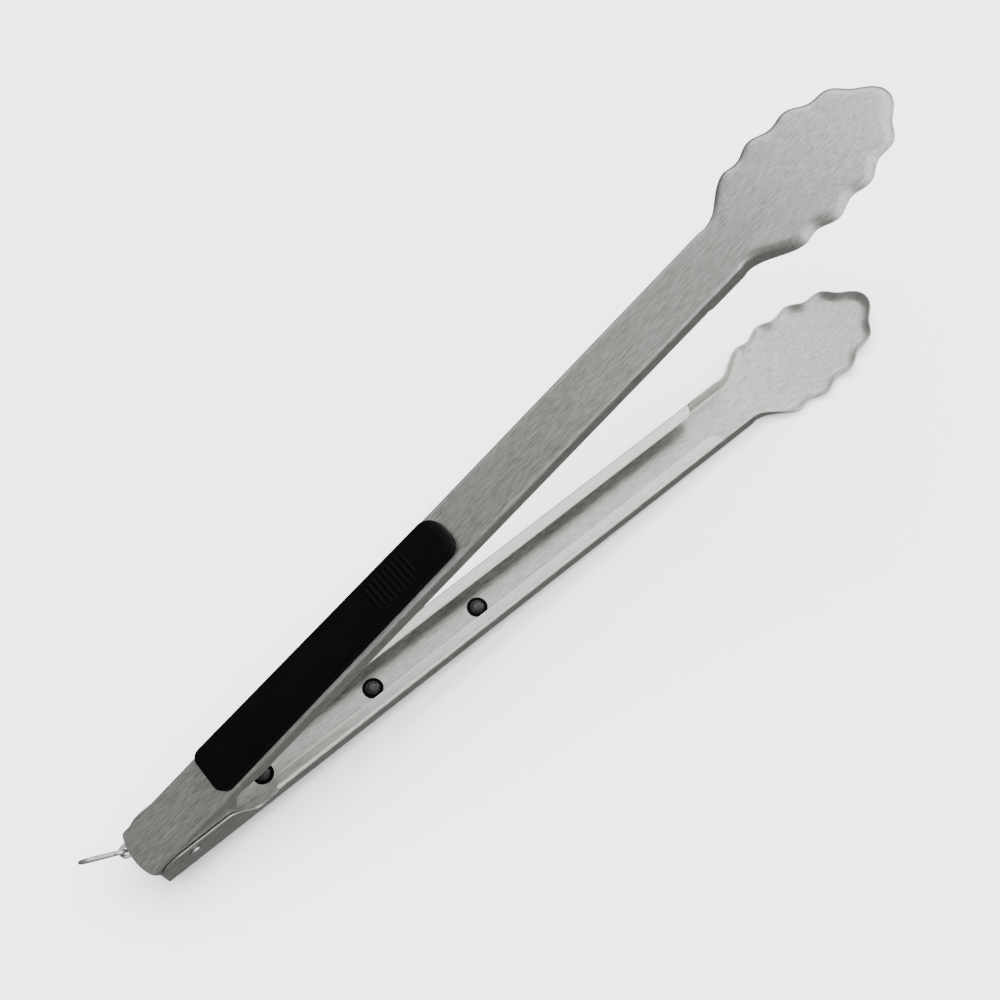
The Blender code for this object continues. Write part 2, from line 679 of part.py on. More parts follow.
def lying_angle():
    """Tilt at which the lower grip's end and the lower head's back both touch the ground."""
    radius = dip_radius(LOWER_DEPTH)
    grip_end = GRIP_END_X - GRIP_EDGE
    stand_off = GAP + GRIP_HEIGHT
    span = NECK_X - grip_end
    return math.atan((math.sqrt(span ** 2 + 2.0 * radius * stand_off) - span) / radius)


def make_empty(name, parent, collection):
    empty = bpy.data.objects.new(name, None)
    empty.empty_display_size = 0.02
    empty.parent = parent
    collection.objects.link(empty)
    return empty


def stand_on_origin(frame, collection):
    """Move the frame so that the object's box stands on the origin, centred in plan."""
    bpy.context.view_layer.update()
    depsgraph = bpy.context.evaluated_depsgraph_get()
    corners = []
    for obj in collection.objects:
        if obj.type in {"MESH", "CURVE"}:
            shape = obj.evaluated_get(depsgraph).to_mesh()
            corners += [obj.matrix_world @ vert.co for vert in shape.vertices]
            obj.evaluated_get(depsgraph).to_mesh_clear()
    points = np.array(corners)
    low = points.min(axis=0)
    high = points.max(axis=0)
    frame.location = (-(low[0] + high[0]) / 2.0, -(low[1] + high[1]) / 2.0, -low[2])
    bpy.context.view_layer.update()


def main():
    clear_scene()
    tongs = make_collection("spring_loaded_kitchen_tongs")
    cutters = make_collection("cutters")
    frame = make_empty("tongs_frame", None, tongs)
    frame.rotation_euler = (0.0, lying_angle(), 0.0)
    hinge = make_empty("upper_arm_hinge", frame, tongs)
    hinge.rotation_euler = (0.0, -OPEN_ANGLE, 0.0)
    turned_over = make_empty("upper_arm_frame", hinge, tongs)
    turned_over.rotation_euler = (math.pi, 0.0, 0.0)
    slide = make_empty("lock_slide", frame, tongs)

    build_arm("lower_arm", LOWER_HALF_WIDTH, LOWER_DEPTH, EAR_ABOVE_PIN, tongs, cutters, frame)
    build_arm("upper_arm", UPPER_HALF_WIDTH, UPPER_DEPTH, UPPER_EAR_BELOW_PIN, tongs, cutters,
              turned_over, lock_slot=True)
    for side, depth, parent in (("lower", LOWER_DEPTH, frame), ("upper", UPPER_DEPTH, turned_over)):
        build_grip(side + "_grip", depth, tongs, cutters, parent)
        for index, x in enumerate(RIVET_X, start=1):
            build_rivet(f"{side}_grip_rivet_{index}", x, depth, tongs, parent)
    build_pin(tongs, frame)
    build_spring(tongs, frame)
    build_slider(tongs, cutters, slide)
    build_bar(tongs, slide)
    build_ring(tongs, slide)
    stand_on_origin(frame, tongs)


main()
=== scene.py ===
"""Looks of a pair of spring loaded kitchen tongs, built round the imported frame.

Two pressed steel arms, their moulded grips, and the small metal of the hinge are made as fine
surfaces in numpy and given brushed, drawn or moulded finishes.  Lengths are metres and angles are
radians.  An arm is shaped back down in its own frame: the hinge pin's axis is Y through the origin,
+X runs to the head and the back is the flat outer face.
"""

import json
import logging
import math
from dataclasses import dataclass, field
from enum import Enum
from typing import Any, Sequence

import bmesh
import bpy
import numpy as np
from mathutils import Matrix, Vector


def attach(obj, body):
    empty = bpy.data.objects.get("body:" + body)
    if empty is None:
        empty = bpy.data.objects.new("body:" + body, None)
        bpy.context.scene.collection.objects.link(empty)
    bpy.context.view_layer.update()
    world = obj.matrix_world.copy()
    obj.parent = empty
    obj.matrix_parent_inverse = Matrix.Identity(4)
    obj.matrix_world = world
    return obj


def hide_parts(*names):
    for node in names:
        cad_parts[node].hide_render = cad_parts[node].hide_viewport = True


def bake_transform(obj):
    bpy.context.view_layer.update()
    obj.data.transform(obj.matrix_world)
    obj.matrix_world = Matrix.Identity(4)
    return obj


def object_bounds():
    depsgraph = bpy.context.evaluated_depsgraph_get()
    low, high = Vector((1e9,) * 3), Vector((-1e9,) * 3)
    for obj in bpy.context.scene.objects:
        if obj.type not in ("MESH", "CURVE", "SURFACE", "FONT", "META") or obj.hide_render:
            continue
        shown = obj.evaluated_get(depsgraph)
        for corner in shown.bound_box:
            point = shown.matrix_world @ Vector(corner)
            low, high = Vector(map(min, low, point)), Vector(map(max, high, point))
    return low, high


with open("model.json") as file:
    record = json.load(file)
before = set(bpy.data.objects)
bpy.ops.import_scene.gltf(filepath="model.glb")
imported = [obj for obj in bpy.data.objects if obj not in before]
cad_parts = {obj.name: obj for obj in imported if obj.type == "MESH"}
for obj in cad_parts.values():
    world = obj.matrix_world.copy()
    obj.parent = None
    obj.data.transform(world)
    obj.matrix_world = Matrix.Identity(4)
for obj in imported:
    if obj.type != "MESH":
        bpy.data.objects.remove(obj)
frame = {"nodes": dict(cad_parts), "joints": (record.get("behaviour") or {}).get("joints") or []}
CAD_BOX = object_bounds()
QUARTER = math.pi / 2.0
MERGE = 1e-6                 # points closer than this are one point
SHARP = 40.0                 # edges bent by more than this many degrees stay sharp
CAP_RINGS = 7                # rings in the dome at a wire's end

# sizes that several pieces share
SHEET = 0.0008
GAP = 0.0003                 # room between pieces that move or are put together
LOWER_DEPTH = 0.0125         # from the pin's axis to the arm's back
UPPER_DEPTH = 0.0113
LOWER_HALF_WIDTH = 0.0122
UPPER_HALF_WIDTH = 0.0111
PIN_RADIUS = 0.0018
BOSS_RADIUS = 0.0042         # of the grip's posts, which pass through the arm's back
SHANK_RADIUS = 0.0015        # of the grip rivets
SHANK_LENGTH = 0.0042
RIVET_X = (0.038, 0.094, 0.150)
BAR_RADIUS = 0.0010
BAR_X = 0.0135               # the lock bar's place with the arms free

log = logging.getLogger("tongs")

Array = np.ndarray


# ------------------------------------------------------------------------------------ shader maths

class Signal:
    """A shader socket that takes part in Python arithmetic."""

    def __init__(self, graph: "Graph", socket: bpy.types.NodeSocket) -> None:
        """Wrap one output socket of a graph."""
        self.graph = graph
        self.socket = socket

    def _math(self, operation: str, left: Any, right: Any) -> "Signal":
        """Add one Math node.

        Args:
            operation: the node's operation.
            left: first value or signal.
            right: second value or signal.
        Returns:
            The node's output.
        """
        return self.graph.node("ShaderNodeMath", {"operation": operation}, {0: left, 1: right})

    def __add__(self, other: Any) -> "Signal":
        """Sum."""
        return self._math("ADD", self, other)

    __radd__ = __add__

    def __mul__(self, other: Any) -> "Signal":
        """Product."""
        return self._math("MULTIPLY", self, other)

    __rmul__ = __mul__

    def __sub__(self, other: Any) -> "Signal":
        """Difference."""
        return self._math("SUBTRACT", self, other)

    def __rsub__(self, other: Any) -> "Signal":
        """Difference from a number."""
        return self._math("SUBTRACT", other, self)

    def __truediv__(self, other: Any) -> "Signal":
        """Quotient."""
        return self._math("DIVIDE", self, other)

    def __rtruediv__(self, other: Any) -> "Signal":
        """A number divided by this."""
        return self._math("DIVIDE", other, self)

    def at_most(self, level: Any) -> "Signal":
        """The smaller of this and the level."""
        return self._math("MINIMUM", self, level)

    def at_least(self, level: Any) -> "Signal":
        """The larger of this and the level."""
        return self._math("MAXIMUM", self, level)

    def clamped(self) -> "Signal":
        """This, kept between 0 and 1."""
        return self.at_least(0.0).at_most(1.0)


class Graph:
    """The node tree of a material or a world, with the shader that it feeds."""

    def __init__(self, owner: Any, shader: str = "Principled BSDF") -> None:
        """Start on the nodes of a new material or world.

        Args:
            owner: the material or world.
            shader: the name of the shader node that it starts with.
        """
        owner.use_nodes = True
        self.owner = owner
        self.tree = owner.node_tree
        self.shader = self.tree.nodes[shader]

    def node(self, kind: str, settings: dict[str, Any] | None = None,
             inputs: dict[Any, Any] | None = None, output: Any = 0) -> Signal:
        """Add a node.

        Args:
            kind: the node's type.
            settings: its properties; "stops" is a ramp's list of (position, colour).
            inputs: values or signals for its sockets, by name or number.
            output: the output socket wanted.
        Returns:
            The signal of that output.
        """
        item = self.tree.nodes.new(kind)
        for key, setting in (settings or {}).items():
            if key == "stops":
                self._set_stops(item.color_ramp, setting)
            else:
                setattr(item, key, setting)
        for key, value in (inputs or {}).items():
            self.feed(item.inputs[key], value)
        return Signal(self, item.outputs[output])

    @staticmethod
    def _set_stops(ramp: bpy.types.ColorRamp, stops: Sequence[tuple[float, Sequence[float]]]) -> None:
        """Give a ramp its stops.

        Args:
            ramp: the ramp.
            stops: a position and a colour for each stop.
        """
        while len(ramp.elements) < len(stops):
            ramp.elements.new(1.0)
        for element, (position, colour) in zip(ramp.elements, stops):
            element.position = position
            element.color = (*colour, 1.0)

    def feed(self, socket: bpy.types.NodeSocket, value: Any) -> None:
        """Link a signal to a socket, or set the socket to a value.

        Args:
            socket: the input socket.
            value: a signal, or what the socket holds.
        """
        if isinstance(value, Signal):
            self.tree.links.new(value.socket, socket)
        else:
            socket.default_value = value

    def dress(self, **values: Any) -> Any:
        """Feed the shader.

        Args:
            **values: values or signals by the socket's name, with underscores for spaces.
        Returns:
            The material or world.
        """
        for key, value in values.items():
            self.feed(self.shader.inputs[key.replace("_", " ")], value)
        return self.owner

    def place(self, turn: float) -> Signal:
        """Object coordinates turned about Y by an angle, so that X runs along a piece."""
        spot = self.node("ShaderNodeTexCoord", output="Object")
        return self.node("ShaderNodeMapping", None, {"Vector": spot, "Rotation": (0.0, turn, 0.0)})

    def stretched(self, spot: Signal, sizes: Sequence[float]) -> Signal:
        """Coordinates divided by a feature size along each axis."""
        scale = tuple(1.0 / size for size in sizes)
        return self.node("ShaderNodeMapping", None, {"Vector": spot, "Scale": scale})

    def noise(self, spot: Signal, detail: float = 2.0, roughness: float = 0.5) -> Signal:
        """Soft noise with features one unit across, about 0 to 1."""
        inputs = {"Vector": spot, "Scale": 1.0, "Detail": detail, "Roughness": roughness}
        return self.node("ShaderNodeTexNoise", None, inputs, "Fac")

    def blend(self, share: Any, low: Any, high: Any) -> Signal:
        """Mix two colours."""
        return self.node("ShaderNodeMix", {"data_type": "RGBA"}, {0: share, 6: low, 7: high}, 2)

    def bump(self, height: Signal, distance: float, strength: float) -> Signal:
        """Surface relief from a height signal, in metres at a height of 1."""
        inputs = {"Height": height, "Distance": distance, "Strength": strength}
        return self.node("ShaderNodeBump", None, inputs)


# ----------------------------------------------------------------------------------------- finishes

Colour = tuple[float, float, float]
Grain = tuple[float, float, float]          # a pattern's feature size along X, Y and Z


def opaque(colour: Colour, factor: float = 1.0) -> tuple[float, float, float, float]:
    """A colour times a factor, as a socket takes it."""
    return (colour[0] * factor, colour[1] * factor, colour[2] * factor, 1.0)


@dataclass(frozen=True)
class BrushedSteel:
    """Stainless sheet: grain along the arm, faint clouds, short marks, a painted highlight on the lips."""

    colour: Colour = (0.64, 0.633, 0.612)
    roughness: float = 0.36
    grain: Grain = (0.0060, 0.00060, 0.00060)
    fine_grain: Grain = (0.0036, 0.00030, 0.00030)
    cloud: Grain = (0.030, 0.013, 0.013)
    scratch: Grain = (0.0140, 0.0011, 0.0011)
    relief: float = 0.000012
    coarse_share: float = 0.3           # of the coarse grain in the streaks
    streak_contrast: float = 2.9
    cloud_contrast: float = 0.3
    mark_level: float = 0.70            # noise above this is a handling mark
    dull: tuple[float, float] = (0.60, 1.20)     # darkest and lightest share of the colour
    lip_highlight_tone: tuple[float, float] = (1.05, 1.45)    # the same on the lips, lighter: a painted highlight
    lip_level: float = 0.0086           # height of the lips above the arm's back
    lip_fade: float = 0.0004            # length over which the lips' painted highlight comes in
    lip_from: float = 0.0386            # where the lips start and end along the arm
    lip_to: float = 0.282

    def lip_highlight_share(self, graph: Graph, spot: Signal, place: "Placement", depth: float) -> Signal:
        """One on the in-turned lips, which are painted lighter as a highlight, nothing elsewhere.

        The share is the product of three ramps: up with the height above the arm's back, and up
        and down with the place along the arm at the lips' two ends.

        Args:
            graph: the material's graph.
            spot: coordinates turned so that X runs along the arm.
            place: the arm's frame.
            depth: from the pin's axis to the arm's back.
        Returns:
            The share.
        """
        normal = np.array([-math.sin(place.turn), 0.0, math.cos(place.turn)])
        along = graph.node("ShaderNodeSeparateXYZ", None, {0: spot}, 0) - float(place.origin @ place.along)
        level = graph.node("ShaderNodeSeparateXYZ", None, {0: spot}, 2) - float(place.origin @ normal)
        height = level * float(place.inward @ normal) + depth
        share = ((height - self.lip_level) / self.lip_fade).clamped()
        share = share * ((along - self.lip_from) / self.lip_fade).clamped()
        return share * ((self.lip_to - along) / self.lip_fade).clamped()

    def material(self, name: str, place: "Placement", depth: float) -> bpy.types.Material:
        """Make the material.

        Args:
            name: the material's name.
            place: the arm's frame, which lays the grain along it.
            depth: from the pin's axis to the arm's back.
        Returns:
            The material.
        """
        graph = Graph(bpy.data.materials.new(name))
        spot = graph.place(place.turn)
        coarse = graph.noise(graph.stretched(spot, self.grain), 1.0, 0.5)
        fine = graph.noise(graph.stretched(spot, self.fine_grain), 2.0, 0.5)
        cloud = graph.noise(graph.stretched(spot, self.cloud), 2.0, 0.5)
        scratch = graph.noise(graph.stretched(spot, self.scratch), 1.0, 0.4)
        mark = (scratch - self.mark_level).at_least(0.0)
        streak = coarse * self.coarse_share + fine * (1.0 - self.coarse_share)
        swing = (streak - 0.5) * self.streak_contrast + (cloud - 0.5) * self.cloud_contrast
        shade = (swing + 0.5 - mark).clamped()
        dull = graph.blend(shade, *(opaque(self.colour, factor) for factor in self.dull))
        # painted highlight: the lips take a lighter tone than the rest, standing in for the bright light
        # that they face
        lip_highlight_tone = graph.blend(shade, *(opaque(self.colour, factor) for factor in self.lip_highlight_tone))
        tone = graph.blend(self.lip_highlight_share(graph, spot, place, depth), dull, lip_highlight_tone)
        rough = (self.roughness - 0.12) + streak * 0.16 + cloud * 0.09 + mark * 0.5
        relief = graph.bump(streak - mark, self.relief, 0.8)
        return graph.dress(Base_Color=tone, Roughness=rough, Normal=relief, Metallic=1.0)


@dataclass(frozen=True)
class DrawnWire:
    """Bright drawn or turned metal with fine draw lines and dull patches."""

    colour: Colour = (0.74, 0.735, 0.72)
    roughness: float = 0.14
    line: Grain = (0.0022, 0.00020, 0.00020)
    patch: Grain = (0.0045, 0.0032, 0.0032)
    relief: float = 0.000006

    def material(self, name: str, turn: float) -> bpy.types.Material:
        """Make the material: draw lines and patches in equal parts.

        Args:
            name: the material's name.
            turn: angle about Y that lays the pattern along the piece.
        Returns:
            The material.
        """
        graph = Graph(bpy.data.materials.new(name))
        spot = graph.place(turn)
        line = graph.noise(graph.stretched(spot, self.line), 2.0, 0.5)
        patch = graph.noise(graph.stretched(spot, self.patch), 3.0, 0.6)
        shade = (line * 0.5 + patch * 0.5).at_most(1.0)
        tone = graph.blend(shade, opaque(self.colour, 0.82), opaque(self.colour, 1.12))
        rough = (self.roughness - 0.05) + line * 0.06 + patch * 0.10
        relief = graph.bump(line, self.relief, 0.7)
        return graph.dress(Base_Color=tone, Roughness=rough, Normal=relief, Metallic=1.0)


@dataclass(frozen=True)
class MouldedRubber:
    """Black moulded grip: fine mould grain, faint flow marks and lint-light specks."""

    colour: Colour = (0.0006, 0.0006, 0.0007)
    worn: Colour = (0.0028, 0.0028, 0.0030)
    roughness: float = 0.46
    grain: Grain = (0.00028, 0.00028, 0.00028)
    flow: Grain = (0.016, 0.006, 0.006)
    speck: Grain = (0.0005, 0.0005, 0.0005)
    speck_level: float = 0.72           # noise above this is a speck
    relief: float = 0.000022

    def material(self, name: str, turn: float) -> bpy.types.Material:
        """Make the material: mould grain, flow marks and specks.

        Args:
            name: the material's name.
            turn: angle about Y that lays the pattern along the piece.
        Returns:
            The material.
        """
        graph = Graph(bpy.data.materials.new(name))
        spot = graph.place(turn)
        grain = graph.noise(graph.stretched(spot, self.grain), 2.0, 0.6)
        flow = graph.noise(graph.stretched(spot, self.flow), 3.0, 0.5)
        speck = graph.noise(graph.stretched(spot, self.speck), 1.0, 0.5) - self.speck_level
        lint = speck.at_least(0.0) * 4.0
        shade = (grain * 0.35 + flow * 0.4 - 0.2 + lint).clamped()
        tone = graph.blend(shade, opaque(self.colour), opaque(self.worn))
        rough = (self.roughness - 0.08) + grain * 0.10 + flow * 0.14
        relief = graph.bump(grain, self.relief, 0.8)
        return graph.dress(Base_Color=tone, Roughness=rough, Normal=relief, Specular_IOR_Level=0.05)


@dataclass(frozen=True)
class BlackenedStud:
    """Black satin rivet with a turned face and rubbed high spots."""

    colour: Colour = (0.012, 0.012, 0.013)
    rubbed: Colour = (0.060, 0.060, 0.062)
    roughness: float = 0.24
    patch: Grain = (0.0012, 0.0012, 0.0012)
    grain: Grain = (0.0002, 0.0002, 0.0002)
    relief: float = 0.00002

    def material(self, name: str, turn: float) -> bpy.types.Material:
        """Make the material: soft rubbed patches over a fine grain.

        Args:
            name: the material's name.
            turn: angle about Y that lays the pattern along the piece.
        Returns:
            The material.
        """
        graph = Graph(bpy.data.materials.new(name))
        spot = graph.place(turn)
        patch = graph.noise(graph.stretched(spot, self.patch), 3.0, 0.6)
        grain = graph.noise(graph.stretched(spot, self.grain), 1.0, 0.5)
        tone = graph.blend((patch * 1.6 - 0.5).at_least(0.0), opaque(self.colour), opaque(self.rubbed))
        rough = (self.roughness - 0.06) + patch * 0.14
        relief = graph.bump(patch * 0.7 + grain * 0.3, self.relief, 0.6)
        return graph.dress(Base_Color=tone, Roughness=rough, Normal=relief, Metallic=0.35)


# ------------------------------------------------------------------------------------------- meshes

def grid_faces(rows: int, columns: int, wrap_rows: bool, wrap_columns: bool) -> Array:
    """Corner numbers of the quads of a grid of points.

    Args:
        rows: points along the first parameter.
        columns: points along the second parameter.
        wrap_rows: the last row joins the first.
        wrap_columns: the last column joins the first.
    Returns:
        One row of four point numbers for each quad.
    """
    first = np.arange(rows if wrap_rows else rows - 1)
    second = np.arange(columns if wrap_columns else columns - 1)
    u, v = np.meshgrid(first, second, indexing="ij")
    next_u = (u + 1) % rows
    next_v = (v + 1) % columns
    corners = [u * columns + v, next_u * columns + v, next_u * columns + next_v, u * columns + next_v]
    return np.stack(corners, axis=-1).reshape(-1, 4)


def make_object(name: str, points: Array, faces: Array, sharp: float = SHARP) -> bpy.types.Object:
    """Make a closed, smooth shaded object from points and quads.

    Args:
        name: the object's name.
        points: one row of x, y, z for each point.
        faces: one row of four point numbers for each quad.
        sharp: edges bent by more than this many degrees stay sharp.
    Returns:
        The object, with equal points merged and its faces pointing out.
    """
    mesh = bpy.data.meshes.new(name)
    mesh.vertices.add(len(points))
    mesh.vertices.foreach_set("co", np.ascontiguousarray(points, np.float32).ravel())
    mesh.loops.add(faces.size)
    mesh.loops.foreach_set("vertex_index", np.ascontiguousarray(faces, np.int32).ravel())
    mesh.polygons.add(len(faces))
    mesh.polygons.foreach_set("loop_start", np.arange(0, faces.size, 4, dtype=np.int32))
    mesh.update(calc_edges=True)
    return finish_mesh(name, mesh, sharp)


def finish_mesh(name: str, mesh: bpy.types.Mesh, sharp: float) -> bpy.types.Object:
    """Merge a mesh's equal points, turn its faces out and put it in a new object.

    Args:
        name: the object's name.
        mesh: the mesh, which is changed.
        sharp: edges bent by more than this many degrees stay sharp.
    Returns:
        The object.
    """
    bm = bmesh.new()
    bm.from_mesh(mesh)
    bmesh.ops.remove_doubles(bm, verts=bm.verts, dist=MERGE)
    bmesh.ops.dissolve_degenerate(bm, dist=MERGE, edges=bm.edges)
    bmesh.ops.recalc_face_normals(bm, faces=bm.faces)
    bm.to_mesh(mesh)
    bm.free()
    obj = bpy.data.objects.new(name, mesh)
    bpy.context.scene.collection.objects.link(obj)
    mesh.shade_smooth()
    mesh.set_sharp_from_angle(angle=math.radians(sharp))
    return obj


def lathe(profile: Array, segments: int = 64) -> tuple[Array, Array]:
    """Turn a profile about Z.

    A point at angle a is (radius cos a, radius sin a, height) of the profile's point.

    Args:
        profile: rows of radius and height, from axis to axis, or closed on itself.
        segments: steps round the axis.
    Returns:
        The points and the quads.
    """
    angle = np.linspace(0.0, 2.0 * math.pi, segments, endpoint=False)[:, None]
    radius = profile[None, :, 0]
    height = np.broadcast_to(profile[None, :, 1], (segments, len(profile)))
    points = np.stack([radius * np.cos(angle), radius * np.sin(angle), height], axis=-1)
    return points.reshape(-1, 3), grid_faces(segments, len(profile), True, False)


def post(radius: float, top: float, bottom: float, segments: int) -> tuple[Array, Array]:
    """A round post about Z, between two heights."""
    return lathe(np.array([[0.0, top], [radius, top], [radius, bottom], [0.0, bottom]]), segments)


def sweep(path: Array, radius: float, closed: bool, sides: int = 20) -> tuple[Array, Array]:
    """Carry a circle along a path.

    Each ring lies across the path's direction, its first axis is the part of a fixed guide that is
    square to the direction, and an open path's ends shrink to a dome.

    Args:
        path: rows of x, y, z.
        radius: the wire's radius.
        closed: the path's end joins its start.
        sides: points round the wire.
    Returns:
        The points and the quads.
    """
    widths = np.full(len(path), radius)
    if closed:
        ahead = np.roll(path, -1, axis=0) - np.roll(path, 1, axis=0)
    else:
        ahead = np.gradient(path, axis=0)
        dome = np.linspace(0.0, QUARTER, CAP_RINGS)[:, None]
        near_cap = path[0] - ahead[0] / np.linalg.norm(ahead[0]) * radius * np.cos(dome)
        far_cap = path[-1] + ahead[-1] / np.linalg.norm(ahead[-1]) * radius * np.cos(dome[::-1])
        caps = radius * np.sin(dome[:, 0])
        path = np.concatenate([near_cap, path[1:-1], far_cap])
        first, last = (np.repeat(end, CAP_RINGS, 0) for end in (ahead[:1], ahead[-1:]))
        ahead = np.concatenate([first, ahead[1:-1], last])
        widths = np.concatenate([caps, widths[1:-1], caps[::-1]])
    ahead = ahead / np.linalg.norm(ahead, axis=1, keepdims=True)
    guide = np.array([0.0, 1.0, 0.0])
    first = guide - ahead * (ahead @ guide)[:, None]
    first = first / np.linalg.norm(first, axis=1, keepdims=True)
    second = np.cross(ahead, first)
    angle = np.linspace(0.0, 2.0 * math.pi, sides, endpoint=False)[None, :, None]
    ring = first[:, None] * np.cos(angle) + second[:, None] * np.sin(angle)
    points = path[:, None] + ring * widths[:, None, None]
    return points.reshape(-1, 3), grid_faces(len(path), sides, closed, True)


def ease(low: float, high: float, x: Array) -> Array:
    """Smooth step of x: 0 below low, 1 above high, 3t squared minus 2t cubed between."""
    share = np.clip((x - low) / (high - low), 0.0, 1.0)
    return share * share * (3.0 - 2.0 * share)


def arc(centre: Sequence[float], radius: float, start: float, end: float, count: int) -> Array:
    """Points of a plane arc, both ends included."""
    angle = np.linspace(start, end, count)
    return np.stack([centre[0] + radius * np.cos(angle), centre[1] + radius * np.sin(angle)], axis=-1)


def cut(obj: bpy.types.Object, other: bpy.types.Object, operation: str, sharp: float = SHARP) -> None:
    """Cut or join an object with another closed body, which is then removed.

    Args:
        obj: the object to change.
        other: the body that cuts or joins it.
        operation: DIFFERENCE or UNION.
        sharp: edges bent by more than this many degrees stay sharp.
    """
    modifier = obj.modifiers.new("cut", "BOOLEAN")
    modifier.object = other
    modifier.operation = operation
    modifier.solver = "EXACT"
    bpy.context.view_layer.update()
    depsgraph = bpy.context.evaluated_depsgraph_get()
    mesh = bpy.data.meshes.new_from_object(obj.evaluated_get(depsgraph))
    obj.modifiers.clear()
    obj.data = mesh
    mesh.name = obj.name
    mesh.set_sharp_from_angle(angle=math.radians(sharp))
    bpy.data.objects.remove(other, do_unlink=True)


def joined(name: str, shapes: Sequence[tuple[Array, Array]]) -> bpy.types.Object:
    """One object from several closed shapes that don't touch.

    Args:
        name: the object's name.
        shapes: the points and the quads of each.
    Returns:
        The object.
    """
    starts = np.cumsum([0] + [len(points) for points, _ in shapes[:-1]])
    points = np.concatenate([shape[0] for shape in shapes])
    faces = np.concatenate([shape[1] + start for shape, start in zip(shapes, starts)])
    return make_object(name, points, faces)


def prism(name: str, place: "Placement", outline: Array, half: float) -> bpy.types.Object:
    """A plane outline carried straight along an arm's Y, with flat ends.

    Args:
        name: the object's name.
        place: the arm's frame.
        outline: rows of x and z in that frame, in order round the outline.
        half: how far it is carried each way.
    Returns:
        The object.
    """
    count = len(outline)
    ends = [np.stack([outline[:, 0], np.full(count, y), outline[:, 1]], axis=-1) for y in (-half, half)]
    points = place.world(np.concatenate(ends))
    first = np.arange(count)
    after = np.roll(first, -1)
    sides = np.stack([first, after, after + count, first + count], axis=-1)
    mesh = bpy.data.meshes.new(name)
    mesh.from_pydata(points.tolist(), [], sides.tolist() + [first.tolist(), (first + count).tolist()])
    return finish_mesh(name, mesh, SHARP)


# ----------------------------------------------------------------------------------------- placement

@dataclass(frozen=True)
class Placement:
    """Where an arm's own frame stands in the row frame."""

    origin: Array
    along: Array             # to the head
    across: Array            # along the pin
    inward: Array            # from the back towards the other arm
    body: str

    @property
    def axes(self) -> Array:
        """The arm's three axes, one row each."""
        return np.stack([self.along, self.across, self.inward])

    def world(self, points: Array) -> Array:
        """Move points from the arm's frame to the row frame."""
        return self.origin + points @ self.axes

    @property
    def turn(self) -> float:
        """Angle about Y that lays row coordinates along the arm."""
        return math.atan2(float(self.along[2]), float(self.along[0]))


def joint(name: str) -> dict[str, Any]:
    """A joint of the frame, by name."""
    return next(item for item in frame["joints"] if item["name"] == name)


def placements() -> tuple[Placement, Placement]:
    """Frames of the two arms, from the hinge, the slide's direction and the opening angle.

    Returns:
        The lower arm's and the upper arm's.
    """
    pin = np.array(joint("arm_hinge")["pos_m"])
    along = -np.array(joint("lock_slide")["axis"])
    across = np.array([0.0, 1.0, 0.0])
    lower = Placement(pin, along, across, np.cross(along, across), "lower")
    opening = math.radians(joint("arm_hinge")["range_deg"][1])
    raised = along * math.cos(opening) + lower.inward * math.sin(opening)
    upper = Placement(pin, raised, -across, np.cross(raised, -across), "upper")
    return lower, upper


class Tone(Enum):
    """Names of the record's material slots."""

    SHEET = "brushed_steel"
    BRIGHT = "bright_steel"
    SPRING = "spring_steel"
    GRIP = "grip"
    RIVET = "rivet"


def mount(obj: bpy.types.Object, node: str, body: str | None,
          material: bpy.types.Material) -> None:
    """Dress a piece, put it on its body and let it stand for a CAD node.

    Args:
        obj: the piece.
        node: the CAD node.
        body: the body that it rides on, or None for a piece between two bodies.
        material: its finish.
    """
    obj.data.materials.clear()
    obj.data.materials.append(material)
    if body:
        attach(obj, body)
    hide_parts(node)
    log.info("%s: %d faces", obj.name, len(obj.data.polygons))


# --------------------------------------------------------------------------------------------- arms

@dataclass
class Blank:
    """Ribs of an arm, one row each: where it starts, where its rim is, and how it is bent."""

    spine: Array             # x on the middle line
    rim_x: Array
    rim_y: Array
    height: Array            # top of the straight wall above the back
    slope: Array             # angle of the wall
    bend: Array              # outside radius between back and wall
    beyond: Array            # length of sheet past the straight wall
    round_off: Array         # 1 for full sheet, down to 0 at the tail's rounded edge


